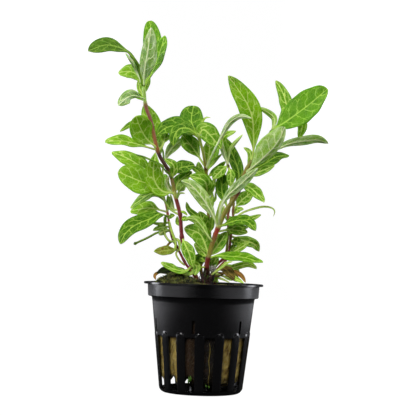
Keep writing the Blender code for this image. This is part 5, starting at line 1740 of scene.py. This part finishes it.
@dataclass(frozen=True)
class Studio:
    """The plain pale floor, the soft lights and the camera at the photo's angle. Sizes are in metres.

    The floor reflects little near the pot, whose gloss mirrors it, and is pale to the left and right.
    """

    floor_size: float = 6.0
    floor_curve: float = 0.4
    dark_half: float = 0.13
    near_grey: Colour = (0.03, 0.03, 0.03)
    far_grey: Colour = (0.6, 0.6, 0.62)
    floor_glow: float = 0.99

    BOXES = (
        SoftBox("left_box", (-0.6, 0.16, 0.24), (0.25, 0.8), 4.6, SOFT_BLUE),
        SoftBox("right_box", (0.6, 0.14, 0.24), (0.25, 0.8), 4.0, SOFT_BLUE),
        SoftBox("front_left", (-0.5, -0.75, 0.6), (0.5, 0.5), 8.8),
        SoftBox("front_right", (0.55, -0.75, 0.75), (0.5, 0.5), 5.2),
        SoftBox("top_box", (0.0, -0.1, 0.95), (0.6, 0.6), 3.0),
    )

    def build(self) -> None:
        """Sets the whole studio."""
        self._floor()
        self._surround()
        for box in self.BOXES:
            box.build()
        self._camera()
        bpy.context.scene.view_settings.view_transform = "Standard"

    def _floor(self) -> None:
        """The pale floor, which curves up behind the plant."""
        half, curve = 0.5 * self.floor_size, self.floor_curve
        rows = [(-half, 0.0), (0.5 * half, 0.0)]
        rows += [(0.5 * half + math.sin(t) * curve, curve - curve * math.cos(t))
                 for t in (0.3, 0.6, 0.9, 1.2, 0.5 * math.pi)]
        rows.append((0.5 * half + curve, half))
        verts = [Vector((x, y, z)) / MM for y, z in rows for x in (-half, half)]
        faces = [(2 * i, 2 * i + 1, 2 * i + 3, 2 * i + 2) for i in range(len(rows) - 1)]
        floor = place_object("floor", mesh_from("floor", verts, faces))
        material, shader, w = new_material("pale_floor")
        aside = w.split(w.add("TexCoord").outputs["Object"])["X"]
        aside = w.step(w.math("ABSOLUTE", aside), self.dark_half, 2.0 * self.dark_half)
        glow = w.math("MULTIPLY", w.add("LightPath").outputs["Is Camera Ray"], self.floor_glow)
        w.feed(shader, {"Roughness": 0.9, "Specular IOR Level": 0.1, "Emission Color": WHITE,
                        "Base Color": w.mix(aside, self.near_grey, self.far_grey), "Emission Strength": glow})
        floor.data.materials.append(material)

    @staticmethod
    def _surround() -> None:
        """A soft white surround, which the camera sees as plain white."""
        world = bpy.data.worlds.new("studio")
        bpy.context.scene.world = world
        world.use_nodes = True
        w = Nodes(world.node_tree)
        by_eye = w.add("LightPath").outputs["Is Camera Ray"]
        behind = w.step(w.split(w.add("TexCoord").outputs["Generated"])["Y"], -0.5, 0.6)
        glow = w.math("MULTIPLY_ADD", behind, 0.25, 0.02)
        strength = w.math("MULTIPLY_ADD", glow, w.math("SUBTRACT", 1.0, by_eye), by_eye)
        w.feed(world.node_tree.nodes["Background"], {"Strength": strength, "Color": WHITE})

    @staticmethod
    def _camera() -> None:
        """The camera at the photo's place, tilt and roll."""
        data = bpy.data.cameras.new("camera")
        data.lens = LENS_MM
        data.clip_start = 0.01
        camera = place_object("camera", data)
        ahead = (AIM - EYE).normalized()
        level = ahead.cross(Vector((0, 0, 1))).normalized()
        upright = level.cross(ahead).normalized()
        right = level * math.cos(ROLL) + upright * math.sin(ROLL)
        top = upright * math.cos(ROLL) - level * math.sin(ROLL)
        turn = Matrix((right, top, -ahead)).transposed()
        camera.matrix_world = Matrix.Translation(EYE * MM) @ turn.to_4x4()
        bpy.context.scene.camera = camera


def report(piece: bpy.types.Object) -> bpy.types.Object:
    """Logs a piece's name and faces, and passes it on."""
    LOG.info("%s: %d faces", piece.name, len(piece.data.polygons))
    return piece


def main() -> None:
    """Builds every piece in order and reports it."""
    logging.basicConfig(level=logging.INFO, format="%(message)s")
    Studio().build()
    plug = WoolPlug()
    for part in (NetPot(), plug, WoolFibres(plug), MossMound(plug), RootTangle(), *map(StemPiece, STEMS)):
        report(part.build())
    for leaf in LEAVES:
        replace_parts(report(Blade(leaf).build()), leaf.name)
    for leaf in SMALL_LEAVES + SPRIGS:
        report(Blade(leaf, rows=26, columns=10).build())


if __name__ == "__main__":
    main()
